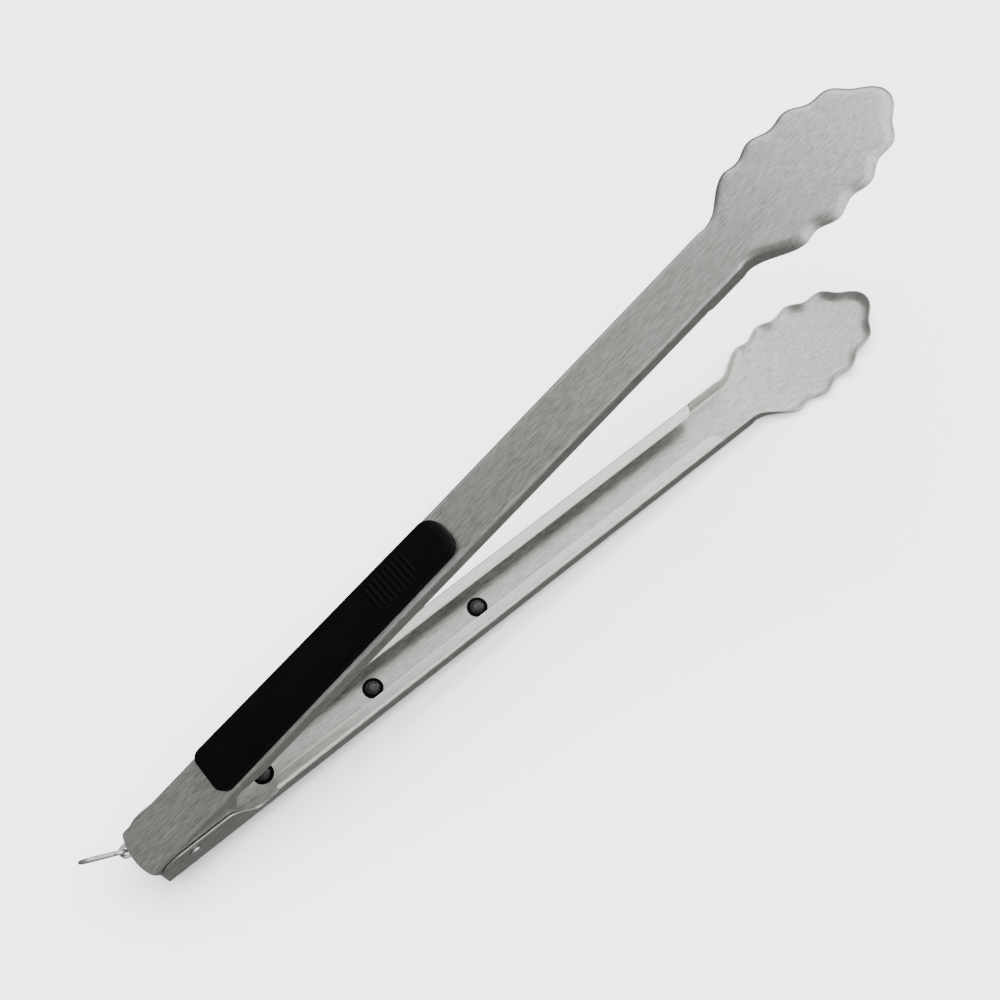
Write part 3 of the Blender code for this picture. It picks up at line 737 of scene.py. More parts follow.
@dataclass
class PressedArm:
    """One arm, pressed from sheet: channel, ears, finger notch, in-turned lips and scalloped head."""

    node: str
    place: Placement
    half_width: float
    depth: float
    ear_top: float
    lock_slot: bool = False
    sheet: float = SHEET
    gap: float = GAP
    tip_x: float = 0.384
    tail_x: float = -0.0147
    tail_bulge: float = 0.0025
    wall_height: float = 0.0091
    back_bend: float = 0.0026
    lip_bend: float = 0.0016
    lip_width: float = 0.0056
    lip_start_x: float = 0.0386
    lip_end_x: float = 0.282
    lip_corner: float = 0.0048
    lip_step: float = 0.003             # length over which the wall rises past the lips
    ear_round_x: float = -0.005
    ear_round_drop: float = 0.0082
    ear_round_share: float = 0.96       # of a full quarter round
    ear_front_x: float = 0.0172
    notch_x: float = 0.0302
    notch_below_rim: float = 0.0029
    neck_x: float = 0.300
    flare_start_x: float = 0.302
    lean_lead: float = 0.004            # the walls lean this far before the flare
    sink_lead: float = 0.006            # and get lower this far before it
    head_centre_x: float = 0.338
    head_half_width: float = 0.0222
    head_start: float = math.radians(109.0)
    scallop: float = 0.00108
    tip_lobe_half: float = 0.0126
    scallop_pitch: float = 0.0170
    rim_depth: float = 0.0031
    rim_slope: float = math.radians(52.0)
    rim_bend: float = 0.0045
    tip_gap: float = 0.0003
    edge_round: float = 0.00028
    pin_radius: float = PIN_RADIUS
    boss_radius: float = BOSS_RADIUS
    rivet_x: tuple[float, ...] = RIVET_X
    bar_radius: float = BAR_RADIUS
    bar_free_x: float = BAR_X
    lock_travel: float = 0.0045
    opening: float = field(default_factory=lambda: math.radians(joint("arm_hinge")["range_deg"][1]))

    @property
    def head_semi_length(self) -> float:
        """Half the length of the head's ellipse."""
        return self.tip_x - self.head_centre_x - self.scallop

    def back_height(self, x: Array) -> Array:
        """Height of the back: flat, then a parabola of the head's dip from the neck on.

        Args:
            x: places along the arm.
        Returns:
            The height at each.
        """
        fall = self.depth - self.rim_depth - self.sheet * math.cos(self.rim_slope) - self.tip_gap
        share = np.clip((x - self.neck_x) / (self.tip_x - self.neck_x), 0.0, None)
        return -self.depth + fall * share ** 2

    def edge_height(self, x: Array) -> Array:
        """Height of the wall's free edge above the back, from the tail to the lips.

        A quarter round at the tail, the ear's level top, and eased steps down into the finger
        notch and up to the lips.

        Args:
            x: places along the arm.
        Returns:
            The height at each.
        """
        ear = self.depth + self.ear_top
        notch = self.wall_height - self.notch_below_rim
        share = np.clip((self.ear_round_x - x) / (self.ear_round_x - self.tail_x), 0.0, 1.0)
        tail = self.ear_round_drop * (1.0 - np.sqrt(1.0 - self.ear_round_share * share ** 2))
        down = (notch - ear) * ease(self.ear_front_x, self.notch_x, x)
        rise = self.wall_height - self.lip_bend - notch
        return ear - tail + down + rise * ease(self.notch_x, self.lip_start_x, x)

    def rim_offset(self, length: Array) -> Array:
        """Scallops: offset from the ellipse, a wide lobe at the tip, then even cosine lobes.

        Args:
            length: distances along the ellipse from the tip.
        Returns:
            The offset outwards at each.
        """
        tip = np.cos(math.pi * length / self.tip_lobe_half)
        side = -np.cos(2.0 * math.pi * (length - self.tip_lobe_half) / self.scallop_pitch)
        return self.scallop * np.where(length < self.tip_lobe_half, tip, side)

    def head_rim(self, angle: Array) -> tuple[Array, Array, Array]:
        """Rim of the head in plan, and the middle-line point that each rib starts from.

        The rim is the ellipse (a cos t, b sin t) moved along its normal by the scallops, and a
        rib starts at the centre plus the focal share times cos t.

        Args:
            angle: ellipse parameters, 0 at the tip.
        Returns:
            Rim x, rim y and spine x.
        """
        long, wide = self.head_semi_length, self.head_half_width
        fine = np.linspace(0.0, self.head_start, 1200)
        speed = np.hypot(long * np.sin(fine), wide * np.cos(fine))
        steps = (speed[1:] + speed[:-1]) * 0.5 * np.diff(fine)
        length = np.interp(angle, fine, np.concatenate([[0.0], np.cumsum(steps)]))
        normal = np.stack([np.cos(angle) / long, np.sin(angle) / wide])
        normal = normal / np.linalg.norm(normal, axis=0)
        offset = self.rim_offset(length)
        rim_x = self.head_centre_x + long * np.cos(angle) + normal[0] * offset
        rim_y = wide * np.sin(angle) + normal[1] * offset
        focal = (long ** 2 - wide ** 2) / long
        return rim_x, rim_y, self.head_centre_x + focal * np.cos(angle)

    def channel_stations(self) -> tuple[Array, Array]:
        """Places along the channel from tail to flare, close together where its edge bends.

        Returns:
            The places, and 1 for full sheet, down to 0 at the tail's rounded edge, at each.
        """
        angle = np.linspace(0.0, QUARTER, 6)
        end = self.tail_x + self.edge_round * (1.0 - np.cos(angle))
        x = np.concatenate([
            end,
            np.linspace(end[-1], self.ear_round_x, 26)[1:],
            np.linspace(self.ear_round_x, self.ear_front_x, 16)[1:],
            np.linspace(self.ear_front_x, self.notch_x, 30)[1:],
            np.linspace(self.notch_x, self.lip_start_x, 16)[1:],
            self.lip_start_x + self.lip_corner * (1.0 - np.cos(np.linspace(0.0, QUARTER, 14)))[1:],
            np.linspace(self.lip_start_x + self.lip_corner, self.lip_end_x - self.lip_corner, 70)[1:],
            self.lip_end_x - self.lip_corner * (1.0 - np.sin(np.linspace(0.0, QUARTER, 14)))[1:],
            np.linspace(self.lip_end_x, self.flare_start_x, 16)[1:-1],
        ])
        full = np.ones(len(x))
        full[:len(angle)] = np.sin(angle)
        return x, full

    def blank(self) -> Blank:
        """All ribs of one side, from tail to tip.

        The channel's ribs stand square to it, the flare's move over from them to the head's, and
        the head's spread from its middle line.

        Returns:
            The ribs.
        """
        x, full = self.channel_stations()
        lipped = (x >= self.lip_start_x) & (x <= self.lip_end_x)
        near_end = np.minimum(x - self.lip_start_x, self.lip_end_x - x) / self.lip_corner
        share = np.sqrt(1.0 - (1.0 - np.clip(near_end, 0.0, 1.0)) ** 2)
        lip = self.lip_bend * QUARTER + self.lip_width - self.lip_bend
        edge = self.edge_height(x) + self.lip_bend * ease(self.lip_end_x, self.lip_end_x + self.lip_step, x)
        upright = np.full(len(x), QUARTER)

        shoulder_x, shoulder_y, shoulder_spine = self.head_rim(np.array([self.head_start]))
        step = np.linspace(0.0, 1.0, 44)[:-1]
        flare_x = self.flare_start_x + (shoulder_x[0] - self.flare_start_x) * step
        flare_spine = self.flare_start_x + (shoulder_spine[0] - self.flare_start_x) * step
        widen = ease(self.flare_start_x, shoulder_x[0], flare_x)
        lean = ease(self.flare_start_x - self.lean_lead, shoulder_x[0], flare_x)
        sink = ease(self.flare_start_x - self.sink_lead, shoulder_x[0], flare_x)

        angle = np.linspace(self.head_start, 0.0, 230)
        rim_x, rim_y, spine = self.head_rim(angle)
        head = np.ones(len(angle))
        flare = np.ones(len(flare_x))
        return Blank(
            spine=np.concatenate([x, flare_spine, spine]),
            rim_x=np.concatenate([x, flare_x, rim_x]),
            rim_y=np.concatenate([
                np.full(len(x), self.half_width),
                self.half_width + (shoulder_y[0] - self.half_width) * widen,
                rim_y,
            ]),
            height=np.concatenate([
                edge,
                self.wall_height + (self.rim_depth - self.wall_height) * sink,
                head * self.rim_depth,
            ]),
            slope=np.concatenate([
                upright,
                QUARTER + (self.rim_slope - QUARTER) * lean,
                head * self.rim_slope,
            ]),
            bend=np.concatenate([
                np.full(len(x), self.back_bend),
                self.back_bend + (self.rim_bend - self.back_bend) * widen,
                head * self.rim_bend,
            ]),
            beyond=np.concatenate([np.where(lipped, lip * share, 0.0), flare * 0.0, head * 0.0]),
            round_off=np.concatenate([full, flare, head]),
        )

    def section(self, ribs: Blank) -> tuple[Array, Array]:
        """Bend the sheet along each rib.

        A rib is a flat back, an arc of the bend's radius, a straight wall at its slope and, past
        the wall's top, an arc of the lip's radius and a straight lip.  A point at sheet depth d
        is offset by d along the inward normal, and the free edge is closed by half an ellipse.

        Args:
            ribs: the arm's ribs.
        Returns:
            Distance from the middle line and height above the back, one row for each rib.
        """
        column = {name: value[:, None] for name, value in vars(ribs).items()}
        slope, bend, height = column["slope"], column["bend"], column["height"]
        reach = np.hypot(column["rim_x"] - column["spine"], column["rim_y"])
        flat_end = reach - height / np.tan(slope) - bend * np.tan(slope / 2.0)
        wall = (height - bend * (1.0 - np.cos(slope))) / np.sin(slope)
        free = wall + column["beyond"] - self.edge_round

        def back(share: Array, deep: Array) -> tuple[Array, Array]:
            """Flat back and its bend.

            Args:
                share: 0 to 1 on the flat and 1 to 2 on the bend.
                deep: distance in from the outer face.
            Returns:
                Distance from the middle line and height above the back.
            """
            turn = slope * np.clip(share - 1.0, 0.0, 1.0)
            flat = flat_end * np.clip(share, 0.0, 1.0)
            return flat + (bend - deep) * np.sin(turn), bend - (bend - deep) * np.cos(turn)

        def side(share: Array, deep: Array, past: Array) -> tuple[Array, Array]:
            """Wall and lip.

            Args:
                share: share of the free length.
                deep: distance in from the outer face.
                past: length by which the point is moved on past its place.
            Returns:
                Distance from the middle line and height above the back.
            """
            run = free * share
            turn = np.clip((run - wall) / self.lip_bend, 0.0, QUARTER)
            on_wall = np.minimum(run, wall)
            on_lip = np.maximum(run - wall - self.lip_bend * QUARTER, 0.0)
            lip_radius = np.where(run > wall, self.lip_bend, 0.0)
            # forward and inward are the wall's own axes
            forward = on_wall + (lip_radius - deep) * np.sin(turn) * (run > wall)
            inward = np.where(run > wall, lip_radius - (lip_radius - deep) * np.cos(turn), deep)
            inward = inward + on_lip
            forward = forward + past * np.cos(turn)
            inward = inward + past * np.sin(turn)
            start_reach = flat_end + bend * np.sin(slope)
            start_height = bend * (1.0 - np.cos(slope))
            out = start_reach + forward * np.cos(slope) - inward * np.sin(slope)
            up = start_height + forward * np.sin(slope) + inward * np.cos(slope)
            return out, up

        half = self.sheet / 2.0
        outside = half * (1.0 - column["round_off"])
        inside = half * (1.0 + column["round_off"])
        back_share = np.concatenate([np.linspace(0.0, 1.0, 9), np.linspace(1.0, 2.0, 8)[1:]])[None]
        side_share = np.linspace(0.0, 1.0, 25)[None, 1:]
        around = np.linspace(0.0, math.pi, 8)[None, 1:-1]
        edge_depth = half - half * column["round_off"] * np.cos(around)
        edge_past = self.edge_round * np.sin(around) * column["round_off"]
        parts = [
            back(back_share, outside),
            side(side_share, outside, 0.0),
            side(np.ones_like(around), edge_depth, edge_past),
            side(side_share[:, ::-1], inside, 0.0),
            back(back_share[:, ::-1], inside),
        ]
        shape = (len(ribs.spine), 1)
        out = np.concatenate([part[0] + np.zeros(shape) for part in parts], axis=1)
        up = np.concatenate([part[1] + np.zeros(shape) for part in parts], axis=1)
        return out, up

    def surface(self) -> tuple[Array, Array]:
        """The whole arm: ribs of one side from tail to tip, then of the other back to the tail.

        Each rib's section is laid along the line from its spine point to its rim point, and the
        tail's end is bulged out by a parabola of y.

        Returns:
            The points and the quads.
        """
        ribs = self.blank()
        out, up = self.section(ribs)
        span = np.hypot(ribs.rim_x - ribs.spine, ribs.rim_y)[:, None]
        x = ribs.spine[:, None] + (ribs.rim_x - ribs.spine)[:, None] / span * out
        y = ribs.rim_y[:, None] / span * out
        fade = 1.0 - ease(self.tail_x, self.ear_round_x, ribs.spine)[:, None]
        x = x - self.tail_bulge * fade * np.clip(1.0 - (y / self.half_width) ** 2, 0.0, None)
        z = self.back_height(x) + up
        near = np.stack([x, y, z], axis=-1)
        far = np.stack([x, -y, z], axis=-1)[-2::-1]
        points = np.concatenate([near, far])
        rows, columns = points.shape[:2]
        return points.reshape(-1, 3), grid_faces(rows, columns, False, False)

    def slot_outline(self) -> Array:
        """Lock slot: an arc about the pin with a radial leg towards the pin at each end.

        Returns:
            Rows of x and z round the slot.
        """
        half = self.bar_radius + self.gap
        inner = self.bar_free_x - self.lock_travel
        far, near = self.bar_free_x + half, self.bar_free_x - half
        lean_far, lean_near = math.asin(half / far), math.asin(half / near)
        end = (inner * math.cos(self.opening), inner * math.sin(self.opening))
        start = self.opening + QUARTER
        return np.concatenate([
            arc((inner, 0.0), half, QUARTER, 3.0 * QUARTER, 17),
            arc((0.0, 0.0), far, -lean_far, self.opening + lean_far, 40),
            arc(end, half, start, start + math.pi, 17),
            arc((0.0, 0.0), near, self.opening - lean_near, lean_near, 24),
        ])

    def hole_shapes(self) -> list[tuple[Array, Array]]:
        """Cutters for the pin hole and the three grip holes.

        Returns:
            The points, in the arm's frame, and the quads of each.
        """
        half = 2.0 * self.half_width
        points, faces = post(self.pin_radius + self.gap, half, -half, 64)
        shapes = [(points[:, [0, 2, 1]], faces)]
        deep = 3.0 * self.sheet
        points, faces = post(self.boss_radius + self.gap, deep, -deep, 96)
        for x in self.rivet_x:
            shapes.append((points + np.array([x, 0.0, -self.depth]), faces))
        return shapes

    def build(self, finish: BrushedSteel) -> None:
        """Make the arm, cut its holes and put it on its body.

        Args:
            finish: the arm's finish.
        """
        points, faces = self.surface()
        arm = make_object("fine_" + self.node, self.place.world(points), faces)
        shapes = [(self.place.world(shape), quads) for shape, quads in self.hole_shapes()]
        cut(arm, joined(self.node + "_holes", shapes), "DIFFERENCE")
        if self.lock_slot:
            slot = prism(self.node + "_slot", self.place, self.slot_outline(), 2.0 * self.half_width)
            cut(arm, slot, "DIFFERENCE")
        material = finish.material(self.node + "_brushed", self.place, self.depth)
        mount(arm, self.node, self.place.body, material)


# -------------------------------------------------------------------------------------------- grips

@dataclass
class Grip:
    """Moulded grip: tapered pad with round edges, a thumb patch of cross ribs and three bosses."""

    node: str
    place: Placement
    depth: float
    sheet: float = SHEET
    gap: float = GAP
    start_x: float = 0.028
    end_x: float = 0.159
    height: float = 0.0058
    half_start: float = 0.0100
    half_end: float = 0.0088
    corner_start: float = 0.0042
    corner_end: float = 0.0050
    end_bulge: float = 0.0016
    bulge_reach: float = 0.02           # length over which the bulge fades out
    edge: float = 0.0020
    skirt: float = 0.0002
    crown: float = 0.00025
    boss_radius: float = BOSS_RADIUS
    shank_radius: float = SHANK_RADIUS
    shank_length: float = SHANK_LENGTH
    rivet_x: tuple[float, ...] = RIVET_X
    rib_start_x: float = 0.1205
    rib_end_x: float = 0.1420
    rib_pitch: float = 0.00235
    rib_height: float = 0.00050
    rib_half_length: float = 0.0062
    rib_least: float = 0.45             # share of the half length at the patch's ends
    rib_fade: float = 0.0006
    level_share: float = 0.18           # share of the top's half over which the relief comes in
    boss_root: float = 0.002            # the bosses start this far inside the pad
    bore_lead: float = 0.001            # the bores' cutter starts this far above the bosses
    sharp: float = 35.0

    def outline(self, inset: Array) -> tuple[Array, Array]:
        """Outline of the near half, from the middle of the head end to the middle of the hinge end.

        A tapered straight side between two corner arcs and two end lines; the head end is bowed
        out by a parabola.

        Args:
            inset: distances by which the outline is drawn in, one row for each ring.
        Returns:
            x and y, one row for each ring.
        """
        inset = inset[:, None]
        turn_end = np.linspace(0.0, QUARTER, 14)[None]
        turn_start = np.linspace(QUARTER, math.pi, 14)[None]
        radius_end, radius_start = self.corner_end - inset, self.corner_start - inset
        end_y = self.half_end - self.corner_end
        start_y = self.half_start - self.corner_start
        steps = 7
        end_line = np.linspace(0.0, 1.0, steps + 1)[None, :-1]
        side_x = np.concatenate([
            np.linspace(self.end_x - self.corner_end, self.rib_end_x, 6)[1:],
            np.linspace(self.rib_end_x, self.rib_start_x, 96)[1:],
            np.linspace(self.rib_start_x, self.start_x + self.corner_start, 40)[1:-1],
        ])[None]
        whole = self.end_x - self.corner_end - self.start_x - self.corner_start
        run = (side_x - self.start_x - self.corner_start) / whole
        side_y = self.half_start + (self.half_end - self.half_start) * run - inset
        zero = np.zeros_like(inset)
        x = np.concatenate([
            self.end_x - inset + 0.0 * end_line,
            self.end_x - self.corner_end + radius_end * np.cos(turn_end),
            side_x + zero,
            self.start_x + self.corner_start + radius_start * np.cos(turn_start),
            self.start_x + inset + 0.0 * end_line,
        ], axis=1)
        y = np.concatenate([
            end_y * end_line + zero,
            end_y + radius_end * np.sin(turn_end),
            side_y,
            start_y + radius_start * np.sin(turn_start),
            start_y * (1.0 - end_line - 1.0 / steps).clip(0.0, 1.0) + zero,
        ], axis=1)
        bow = self.end_bulge * (y / self.half_end) ** 2
        return x - bow * ease(self.end_x - self.bulge_reach, self.end_x, x), y

    def relief(self, x: Array, y: Array) -> Array:
        """Height added to the pad's top.

        A low crown, one minus y over the half width squared, and the ribs: a sharpened cosine of
        x, kept inside a lens whose half length falls off as a circle from the patch's middle.

        Args:
            x: places along the arm.
            y: places across it.
        Returns:
            The height added at each.
        """
        crown = self.crown * np.clip(1.0 - (y / self.half_start) ** 2, 0.0, None)
        middle = (self.rib_start_x + self.rib_end_x) / 2.0
        half = (self.rib_end_x - self.rib_start_x) / 2.0
        along = np.clip(1.0 - ((x - middle) / half) ** 2, 0.0, 1.0)
        reach = self.rib_half_length * (self.rib_least + (1.0 - self.rib_least) * np.sqrt(along))
        reach = reach * (along > 0.0)
        inside = ease(-self.rib_fade, self.rib_fade, reach - np.abs(y)) * (along > 0.0)
        wave = 0.5 + 0.5 * np.cos(2.0 * math.pi * (x - middle) / self.rib_pitch)
        return crown + self.rib_height * inside * wave ** 3

    def surface(self) -> tuple[Array, Array]:
        """Rings from the middle of the underside, out, up round the edge and in over the top.

        Returns:
            The points and the quads.
        """
        turn = np.linspace(0.0, QUARTER, 10)
        inner = -self.depth - self.gap
        outer = inner - self.height
        inset = self.skirt + self.edge * (1.0 - np.cos(turn))
        z_ring = outer + self.edge * (1.0 - np.sin(turn))
        x, y = self.outline(np.concatenate([[0.0], inset]))
        rings_z = np.concatenate([[inner], z_ring])[:, None] + 0.0 * x
        low_spine = np.clip(x[:1], self.start_x + self.corner_start, self.end_x - self.corner_end)
        share = np.linspace(1.0, 0.0, 22)[1:, None]
        top_x = x[-1:] * share + low_spine * (1.0 - share)
        top_y = y[-1:] * share
        rise = self.relief(top_x, top_y) * ease(0.0, self.level_share, 1.0 - share)
        points = np.concatenate([
            np.stack([low_spine, 0.0 * low_spine, inner + 0.0 * low_spine], axis=-1),
            np.stack([x, y, rings_z], axis=-1),
            np.stack([top_x, top_y, outer - rise], axis=-1),
        ])
        near = points.transpose(1, 0, 2)
        far = near[::-1] * np.array([1.0, -1.0, 1.0])
        loop = np.concatenate([near, far])
        rows, columns = loop.shape[:2]
        return loop.reshape(-1, 3), grid_faces(rows, columns, True, False)

    def posts(self, radius: float, top: float, bottom: float) -> bpy.types.Object:
        """Three round posts at the rivets.

        Args:
            radius: the posts' radius.
            top: height of one end in the arm's frame.
            bottom: height of the other end.
        Returns:
            One object that holds the three.
        """
        points, faces = post(radius, top, bottom, 72)
        shapes = [(self.place.world(points + np.array([x, 0.0, 0.0])), faces) for x in self.rivet_x]
        return joined(self.node + "_posts", shapes)

    def build(self, finish: MouldedRubber) -> None:
        """Make the grip with its bosses and bores and put it on its body.

        Args:
            finish: the grip's finish.
        """
        points, faces = self.surface()
        grip = make_object("fine_" + self.node, self.place.world(points), faces, self.sharp)
        floor = -self.depth + self.sheet
        under = -self.depth - self.gap - self.boss_root
        cut(grip, self.posts(self.boss_radius, floor, under), "UNION", self.sharp)
        bore_end = floor - self.shank_length
        bore = self.posts(self.shank_radius + self.gap, floor + self.bore_lead, bore_end)
        cut(grip, bore, "DIFFERENCE", self.sharp)
        material = finish.material(self.node + "_rubber", self.place.turn)
        mount(grip, self.node, self.place.body, material)


@dataclass
class GripRivets:
    """Domed studs that hold a grip's bosses from inside the arm."""

    side: str
    place: Placement
    depth: float
    sheet: float = SHEET
    gap: float = GAP
    rivet_x: tuple[float, ...] = RIVET_X
    shank_radius: float = SHANK_RADIUS
    shank_length: float = SHANK_LENGTH
    head_radius: float = 0.0031
    head_height: float = 0.0015
    dome_power: float = 2.6
    dome_share: float = 0.97            # of the head's radius, where the dome meets the edge
    edge_round: float = 0.0002
    edge_from: float = 0.3              # angle at which the rounded edge starts
    dimple_radius: float = 0.0008
    dimple_depth: float = 0.00022

    def profile(self) -> Array:
        """Half section of a rivet.

        A flattened dome, one minus a power of the radius' share, with a bell-shaped dimple in the
        middle, then a rounded edge, the seat and the shank.

        Returns:
            Rows of radius and height.
        """
        radius = np.linspace(0.0, self.head_radius * self.dome_share, 26)
        dome = self.head_height * (1.0 - (radius / self.head_radius) ** self.dome_power)
        dome = dome - self.dimple_depth * np.exp(-((radius / self.dimple_radius) ** 2))
        centre = (self.head_radius - self.edge_round, self.edge_round)
        edge = arc(centre, self.edge_round, self.edge_from, -QUARTER, 6)
        shank = [[self.shank_radius, 0.0], [self.shank_radius, -self.shank_length],
                 [0.0, -self.shank_length]]
        return np.concatenate([np.stack([radius, dome], axis=-1), edge, shank])

    def build(self, finish: BlackenedStud) -> None:
        """Make the three rivets of this side.

        Args:
            finish: the rivets' finish.
        """
        points, faces = lathe(self.profile())
        material = finish.material(self.side + "_rivet_black", self.place.turn)
        seat = -self.depth + self.sheet + self.gap
        for number, x in enumerate(self.rivet_x, start=1):
            node = f"{self.side}_grip_rivet_{number}"
            moved = self.place.world(points + np.array([x, 0.0, seat]))
            rivet = make_object("fine_" + node, moved, faces)
            mount(rivet, node, self.place.body, material)


# ------------------------------------------------------------------------------------- small metal

@dataclass
class Hinge:
    """Riveted pin and the torsion spring that is wound round it."""

    lower: Placement
    upper: Placement
    lower_half_width: float = LOWER_HALF_WIDTH
    lower_depth: float = LOWER_DEPTH
    upper_depth: float = UPPER_DEPTH
    sheet: float = SHEET
    gap: float = GAP
    pin_radius: float = PIN_RADIUS
    head_radius: float = 0.0027
    head_height: float = 0.0011
    wire: float = 0.0006                # radius
    coil_radius: float = 0.0035         # of the wire's middle line
    turns: int = 6
    pitch: float = 0.0016
    leg_x: float = 0.0155
    leg_power: float = 1.25

    def build_pin(self, finish: DrawnWire) -> None:
        """Pin with a low dome on each end, a quarter of an ellipse in section.

        Args:
            finish: the pin's finish.
        """
        seat = self.lower_half_width + self.gap
        turn = np.linspace(0.0, QUARTER, 14)
        dome = np.stack([self.head_radius * np.sin(turn), seat + self.head_height * np.cos(turn)], axis=-1)
        half = np.concatenate([dome, [[self.pin_radius, seat]]])
        profile = np.concatenate([half, half[::-1] * np.array([1.0, -1.0])])
        points, faces = lathe(profile)
        pin = make_object("fine_hinge_pin", self.lower.world(points[:, [0, 2, 1]]), faces)
        mount(pin, "hinge_pin", "lower", finish.material("pin_bright", self.lower.turn))

    def leg(self, depth: float, y: float) -> Array:
        """One leg, from the coil out: its height grows with a power of its length.

        Args:
            depth: from the pin's axis to the back of the arm that the leg lies on.
            y: its place along the pin.
        Returns:
            Points of the wire's middle line in that arm's frame.
        """
        reach = depth - self.sheet - self.gap - self.wire
        share = np.linspace(0.0, 1.0, 24)[1:]
        height = self.coil_radius + (reach - self.coil_radius) * share ** self.leg_power
        return np.stack([self.leg_x * share, np.full(len(share), y), -height], axis=-1)

    def build_spring(self, finish: DrawnWire) -> None:
        """Coil between two legs, each leg on its own arm's inner face.

        The coil is (r cos a, pitch times turns so far, r sin a), wound so that closing the arms
        tightens it.

        Args:
            finish: the spring's finish.
        """
        half = self.turns * self.pitch / 2.0
        opening = math.acos(float(np.clip(self.lower.along @ self.upper.along, -1.0, 1.0)))
        turned = 2.0 * math.pi * self.turns - (math.pi + opening)
        share = np.linspace(0.0, 1.0, self.turns * 44)
        angle = -QUARTER - turned * share
        coil = np.stack([self.coil_radius * np.cos(angle), half * (2.0 * share - 1.0),
                         self.coil_radius * np.sin(angle)], axis=-1)
        path = np.concatenate([
            self.lower.world(self.leg(self.lower_depth, -half))[::-1],
            self.lower.world(coil),
            self.upper.world(self.leg(self.upper_depth, -half)),
        ])
        spring = make_object("fine_torsion_spring", *sweep(path, self.wire, False, 16))
        mount(spring, "torsion_spring", None,
              finish.material("spring_wire", self.lower.turn))
        pin = self.lower.origin
        ends = [tuple(pin + np.array([0.0, side * half, 0.0])) for side in (-1.0, 1.0)]
        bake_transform(spring)


@dataclass
class Lock:
    """Lock bar, slider plates and the pull ring that draws them back."""

    place: Placement
    bar_radius: float = BAR_RADIUS
    bar_half_length: float = 0.0111
    bar_x: float = BAR_X
    chamfer: float = 0.0003
    ring_wire: float = 0.0008           # radius
    near_radius: float = 0.0033
    far_radius: float = 0.0055
    ring_length: float = 0.0195
    ring_swing: float = math.radians(26.0)
    ring_lean: float = math.radians(20.0)
    slider_edge: float = 0.00016

    def build_bar(self, finish: DrawnWire) -> None:
        """Plain round bar with its end corners rounded off.

        Args:
            finish: the piece's finish.
        """
        turn = np.linspace(0.0, QUARTER, 6)
        end = np.stack([self.bar_radius - self.chamfer + self.chamfer * np.sin(turn),
                        self.bar_half_length - self.chamfer + self.chamfer * np.cos(turn)], axis=-1)
        half = np.concatenate([[[0.0, self.bar_half_length]], end])
        profile = np.concatenate([half, half[::-1] * np.array([1.0, -1.0])])
        points, faces = lathe(profile, 40)
        moved = self.place.world(points[:, [0, 2, 1]] + np.array([self.bar_x, 0.0, 0.0]))
        bar = make_object("fine_lock_bar", moved, faces)
        mount(bar, "lock_bar", "lock", finish.material("bar_bright", self.place.turn))

    def build_slider(self, finish: DrawnWire) -> None:
        """Slider plates, web and tab with their pressed edges rounded.

        Args:
            finish: the piece's finish.
        """
        mesh = frame["nodes"]["lock_slider"].data.copy()
        slider = finish_mesh("fine_lock_slider", mesh, SHARP)
        bevel = slider.modifiers.new("edges", "BEVEL")
        bevel.width = self.slider_edge
        bevel.segments = 2
        bevel.limit_method = "ANGLE"
        bevel.angle_limit = math.radians(SHARP)
        mount(slider, "lock_slider", "lock",
              finish.material("slider_bright", self.place.turn))

    def build_ring(self, finish: DrawnWire) -> None:
        """Pear-shaped ring: a small arc in the eye and a large one, joined by their tangents.

        Args:
            finish: the piece's finish.
        """
        near = -self.near_radius
        far = self.far_radius + 2.0 * self.ring_wire - self.ring_length
        tangent = math.acos((self.near_radius - self.far_radius) / (near - far))
        small = arc((near, 0.0), self.near_radius, -tangent, tangent, 60)
        large = arc((far, 0.0), self.far_radius, tangent, 2.0 * math.pi - tangent, 80)
        flat = np.concatenate([small, large])
        leant = np.stack([flat[:, 0], -flat[:, 1] * math.sin(self.ring_lean),
                          flat[:, 1] * math.cos(self.ring_lean)], axis=-1)
        swing = np.array(Matrix.Rotation(-self.ring_swing, 3, "Z"))
        path = leant @ swing.T
        eye = np.array(joint("ring_swing")["pos_m"]) - self.place.origin
        moved = self.place.world(path + self.place.axes @ eye)
        ring = make_object("fine_pull_ring", *sweep(moved, self.ring_wire, True, 24))
        mount(ring, "pull_ring", "ring", finish.material("ring_bright", self.place.turn))


# ------------------------------------------------------------------------------------------- studio

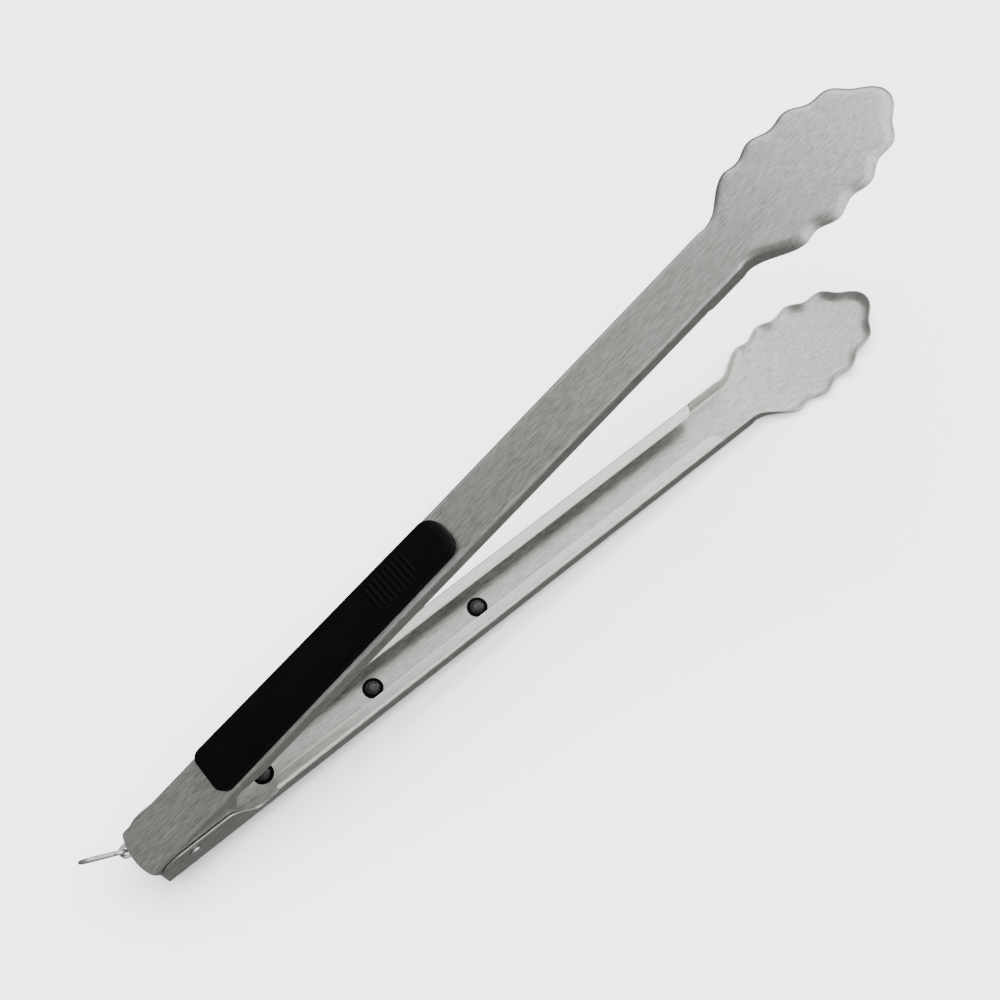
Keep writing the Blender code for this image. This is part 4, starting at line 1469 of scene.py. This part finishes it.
@dataclass
class Studio:
    """Pale floor, the light tent's sky, a soft box and the camera."""

    pin: Array
    camera_from_pin: tuple[float, float, float] = (0.04141, -0.20015, 0.54240)
    forward: tuple[float, float, float] = (0.2367, 0.3725, -0.8973)
    up: tuple[float, float, float] = (0.5982, 0.6719, 0.4367)
    lens: float = 51.02
    floor_half: float = 3.0
    floor_tone: Colour = (0.94, 0.94, 0.935)
    sky_colour: Colour = (1.0, 1.0, 0.985)
    sky_low: float = 0.30               # light from the tail's side
    sky_high: float = 2.00              # light from the heads' side
    ground: float = 0.20                # light from below, seen only in reflections
    sky_span: float = 0.55              # the sky changes between minus and plus this much of X
    horizon_half: float = 0.12          # half the height over which the ground turns into sky
    box_place: tuple[float, float, float] = (0.10, 0.10, 1.60)
    box_side: float = 1.8
    box_power: float = 120.0            # watts

    def build_camera(self) -> None:
        """Camera that looks down on the open tongs from the hinge's side."""
        camera = bpy.data.objects.new("camera", bpy.data.cameras.new("camera"))
        bpy.context.scene.collection.objects.link(camera)
        back = -Vector(self.forward).normalized()
        right = Vector(self.up).cross(back).normalized()
        upright = back.cross(right)
        matrix = Matrix((right, upright, back)).transposed().to_4x4()
        matrix.translation = Vector(self.pin) + Vector(self.camera_from_pin)
        camera.matrix_world = matrix
        camera.data.lens = self.lens
        camera.data.clip_start = 0.01
        bpy.context.scene.camera = camera

    def build_floor(self) -> None:
        """Level floor under the tongs, which doesn't show in the metal."""
        half = self.floor_half
        level = float(CAD_BOX[0][2])
        corners = [(-half, -half, level), (half, -half, level), (half, half, level), (-half, half, level)]
        mesh = bpy.data.meshes.new("floor")
        mesh.from_pydata(corners, [], [(0, 1, 2, 3)])
        floor = bpy.data.objects.new("floor", mesh)
        bpy.context.scene.collection.objects.link(floor)
        graph = Graph(bpy.data.materials.new("floor_paper"))
        mesh.materials.append(graph.dress(Base_Color=opaque(self.floor_tone), Roughness=0.9))
        floor.visible_glossy = False

    def build_sky(self) -> None:
        """Surroundings of a light tent: brighter towards the heads, dark under the horizon.

        Its strength is a smooth step along X, from the tail's side to the heads' side, mixed
        with the ground's by a smooth step of the height.
        """
        world = bpy.data.worlds.new("studio")
        bpy.context.scene.world = world
        graph = Graph(world, "Background")
        spot = graph.node("ShaderNodeTexCoord", output="Generated")

        def step(axis: str, half: float, low: float, high: float) -> Signal:
            """Smooth step along an axis, from low at minus half to high at half."""
            ends = {"From Min": -half, "From Max": half, "To Min": low, "To Max": high}
            place = graph.node("ShaderNodeSeparateXYZ", None, {0: spot}, axis)
            return graph.node("ShaderNodeMapRange", {"interpolation_type": "SMOOTHSTEP"},
                              {"Value": place, **ends})

        sky = step("X", self.sky_span, self.sky_low, self.sky_high)
        above = step("Z", self.horizon_half, 0.0, 1.0)
        strength = graph.node("ShaderNodeMix", None, {"Factor": above, "A": self.ground, "B": sky})
        graph.dress(Color=opaque(self.sky_colour), Strength=strength)

    def build_box(self) -> None:
        """Square soft box that faces the tongs from above and doesn't show in the metal."""
        lamp = bpy.data.lights.new("top_box", "AREA")
        lamp.shape = "RECTANGLE"
        lamp.size = lamp.size_y = self.box_side
        lamp.energy = self.box_power
        box = bpy.data.objects.new("top_box", lamp)
        bpy.context.scene.collection.objects.link(box)
        box.location = self.box_place
        box.rotation_euler = (-Vector(self.box_place)).to_track_quat("-Z", "Y").to_euler()
        box.visible_glossy = False

    def build(self) -> None:
        """Make the whole studio."""
        self.build_camera()
        self.build_floor()
        self.build_sky()
        self.build_box()


# --------------------------------------------------------------------------------------------- main

def main() -> None:
    """Build every piece in order."""
    logging.basicConfig(level=logging.INFO, format="%(name)s %(message)s")
    lower, upper = placements()
    Studio(lower.origin).build()
    steel = BrushedSteel()
    bright = DrawnWire()
    PressedArm("lower_arm", lower, LOWER_HALF_WIDTH, LOWER_DEPTH, ear_top=0.0064).build(steel)
    PressedArm("upper_arm", upper, UPPER_HALF_WIDTH, UPPER_DEPTH, ear_top=0.0083,
               lock_slot=True).build(steel)
    for side, place, depth in (("lower", lower, LOWER_DEPTH), ("upper", upper, UPPER_DEPTH)):
        Grip(side + "_grip", place, depth).build(MouldedRubber())
        GripRivets(side, place, depth).build(BlackenedStud())
    hinge = Hinge(lower, upper)
    hinge.build_pin(bright)
    hinge.build_spring(DrawnWire(colour=(0.46, 0.46, 0.47), roughness=0.24))
    lock = Lock(lower)
    lock.build_bar(bright)
    lock.build_slider(bright)
    lock.build_ring(bright)


if __name__ == "__main__":
    main()
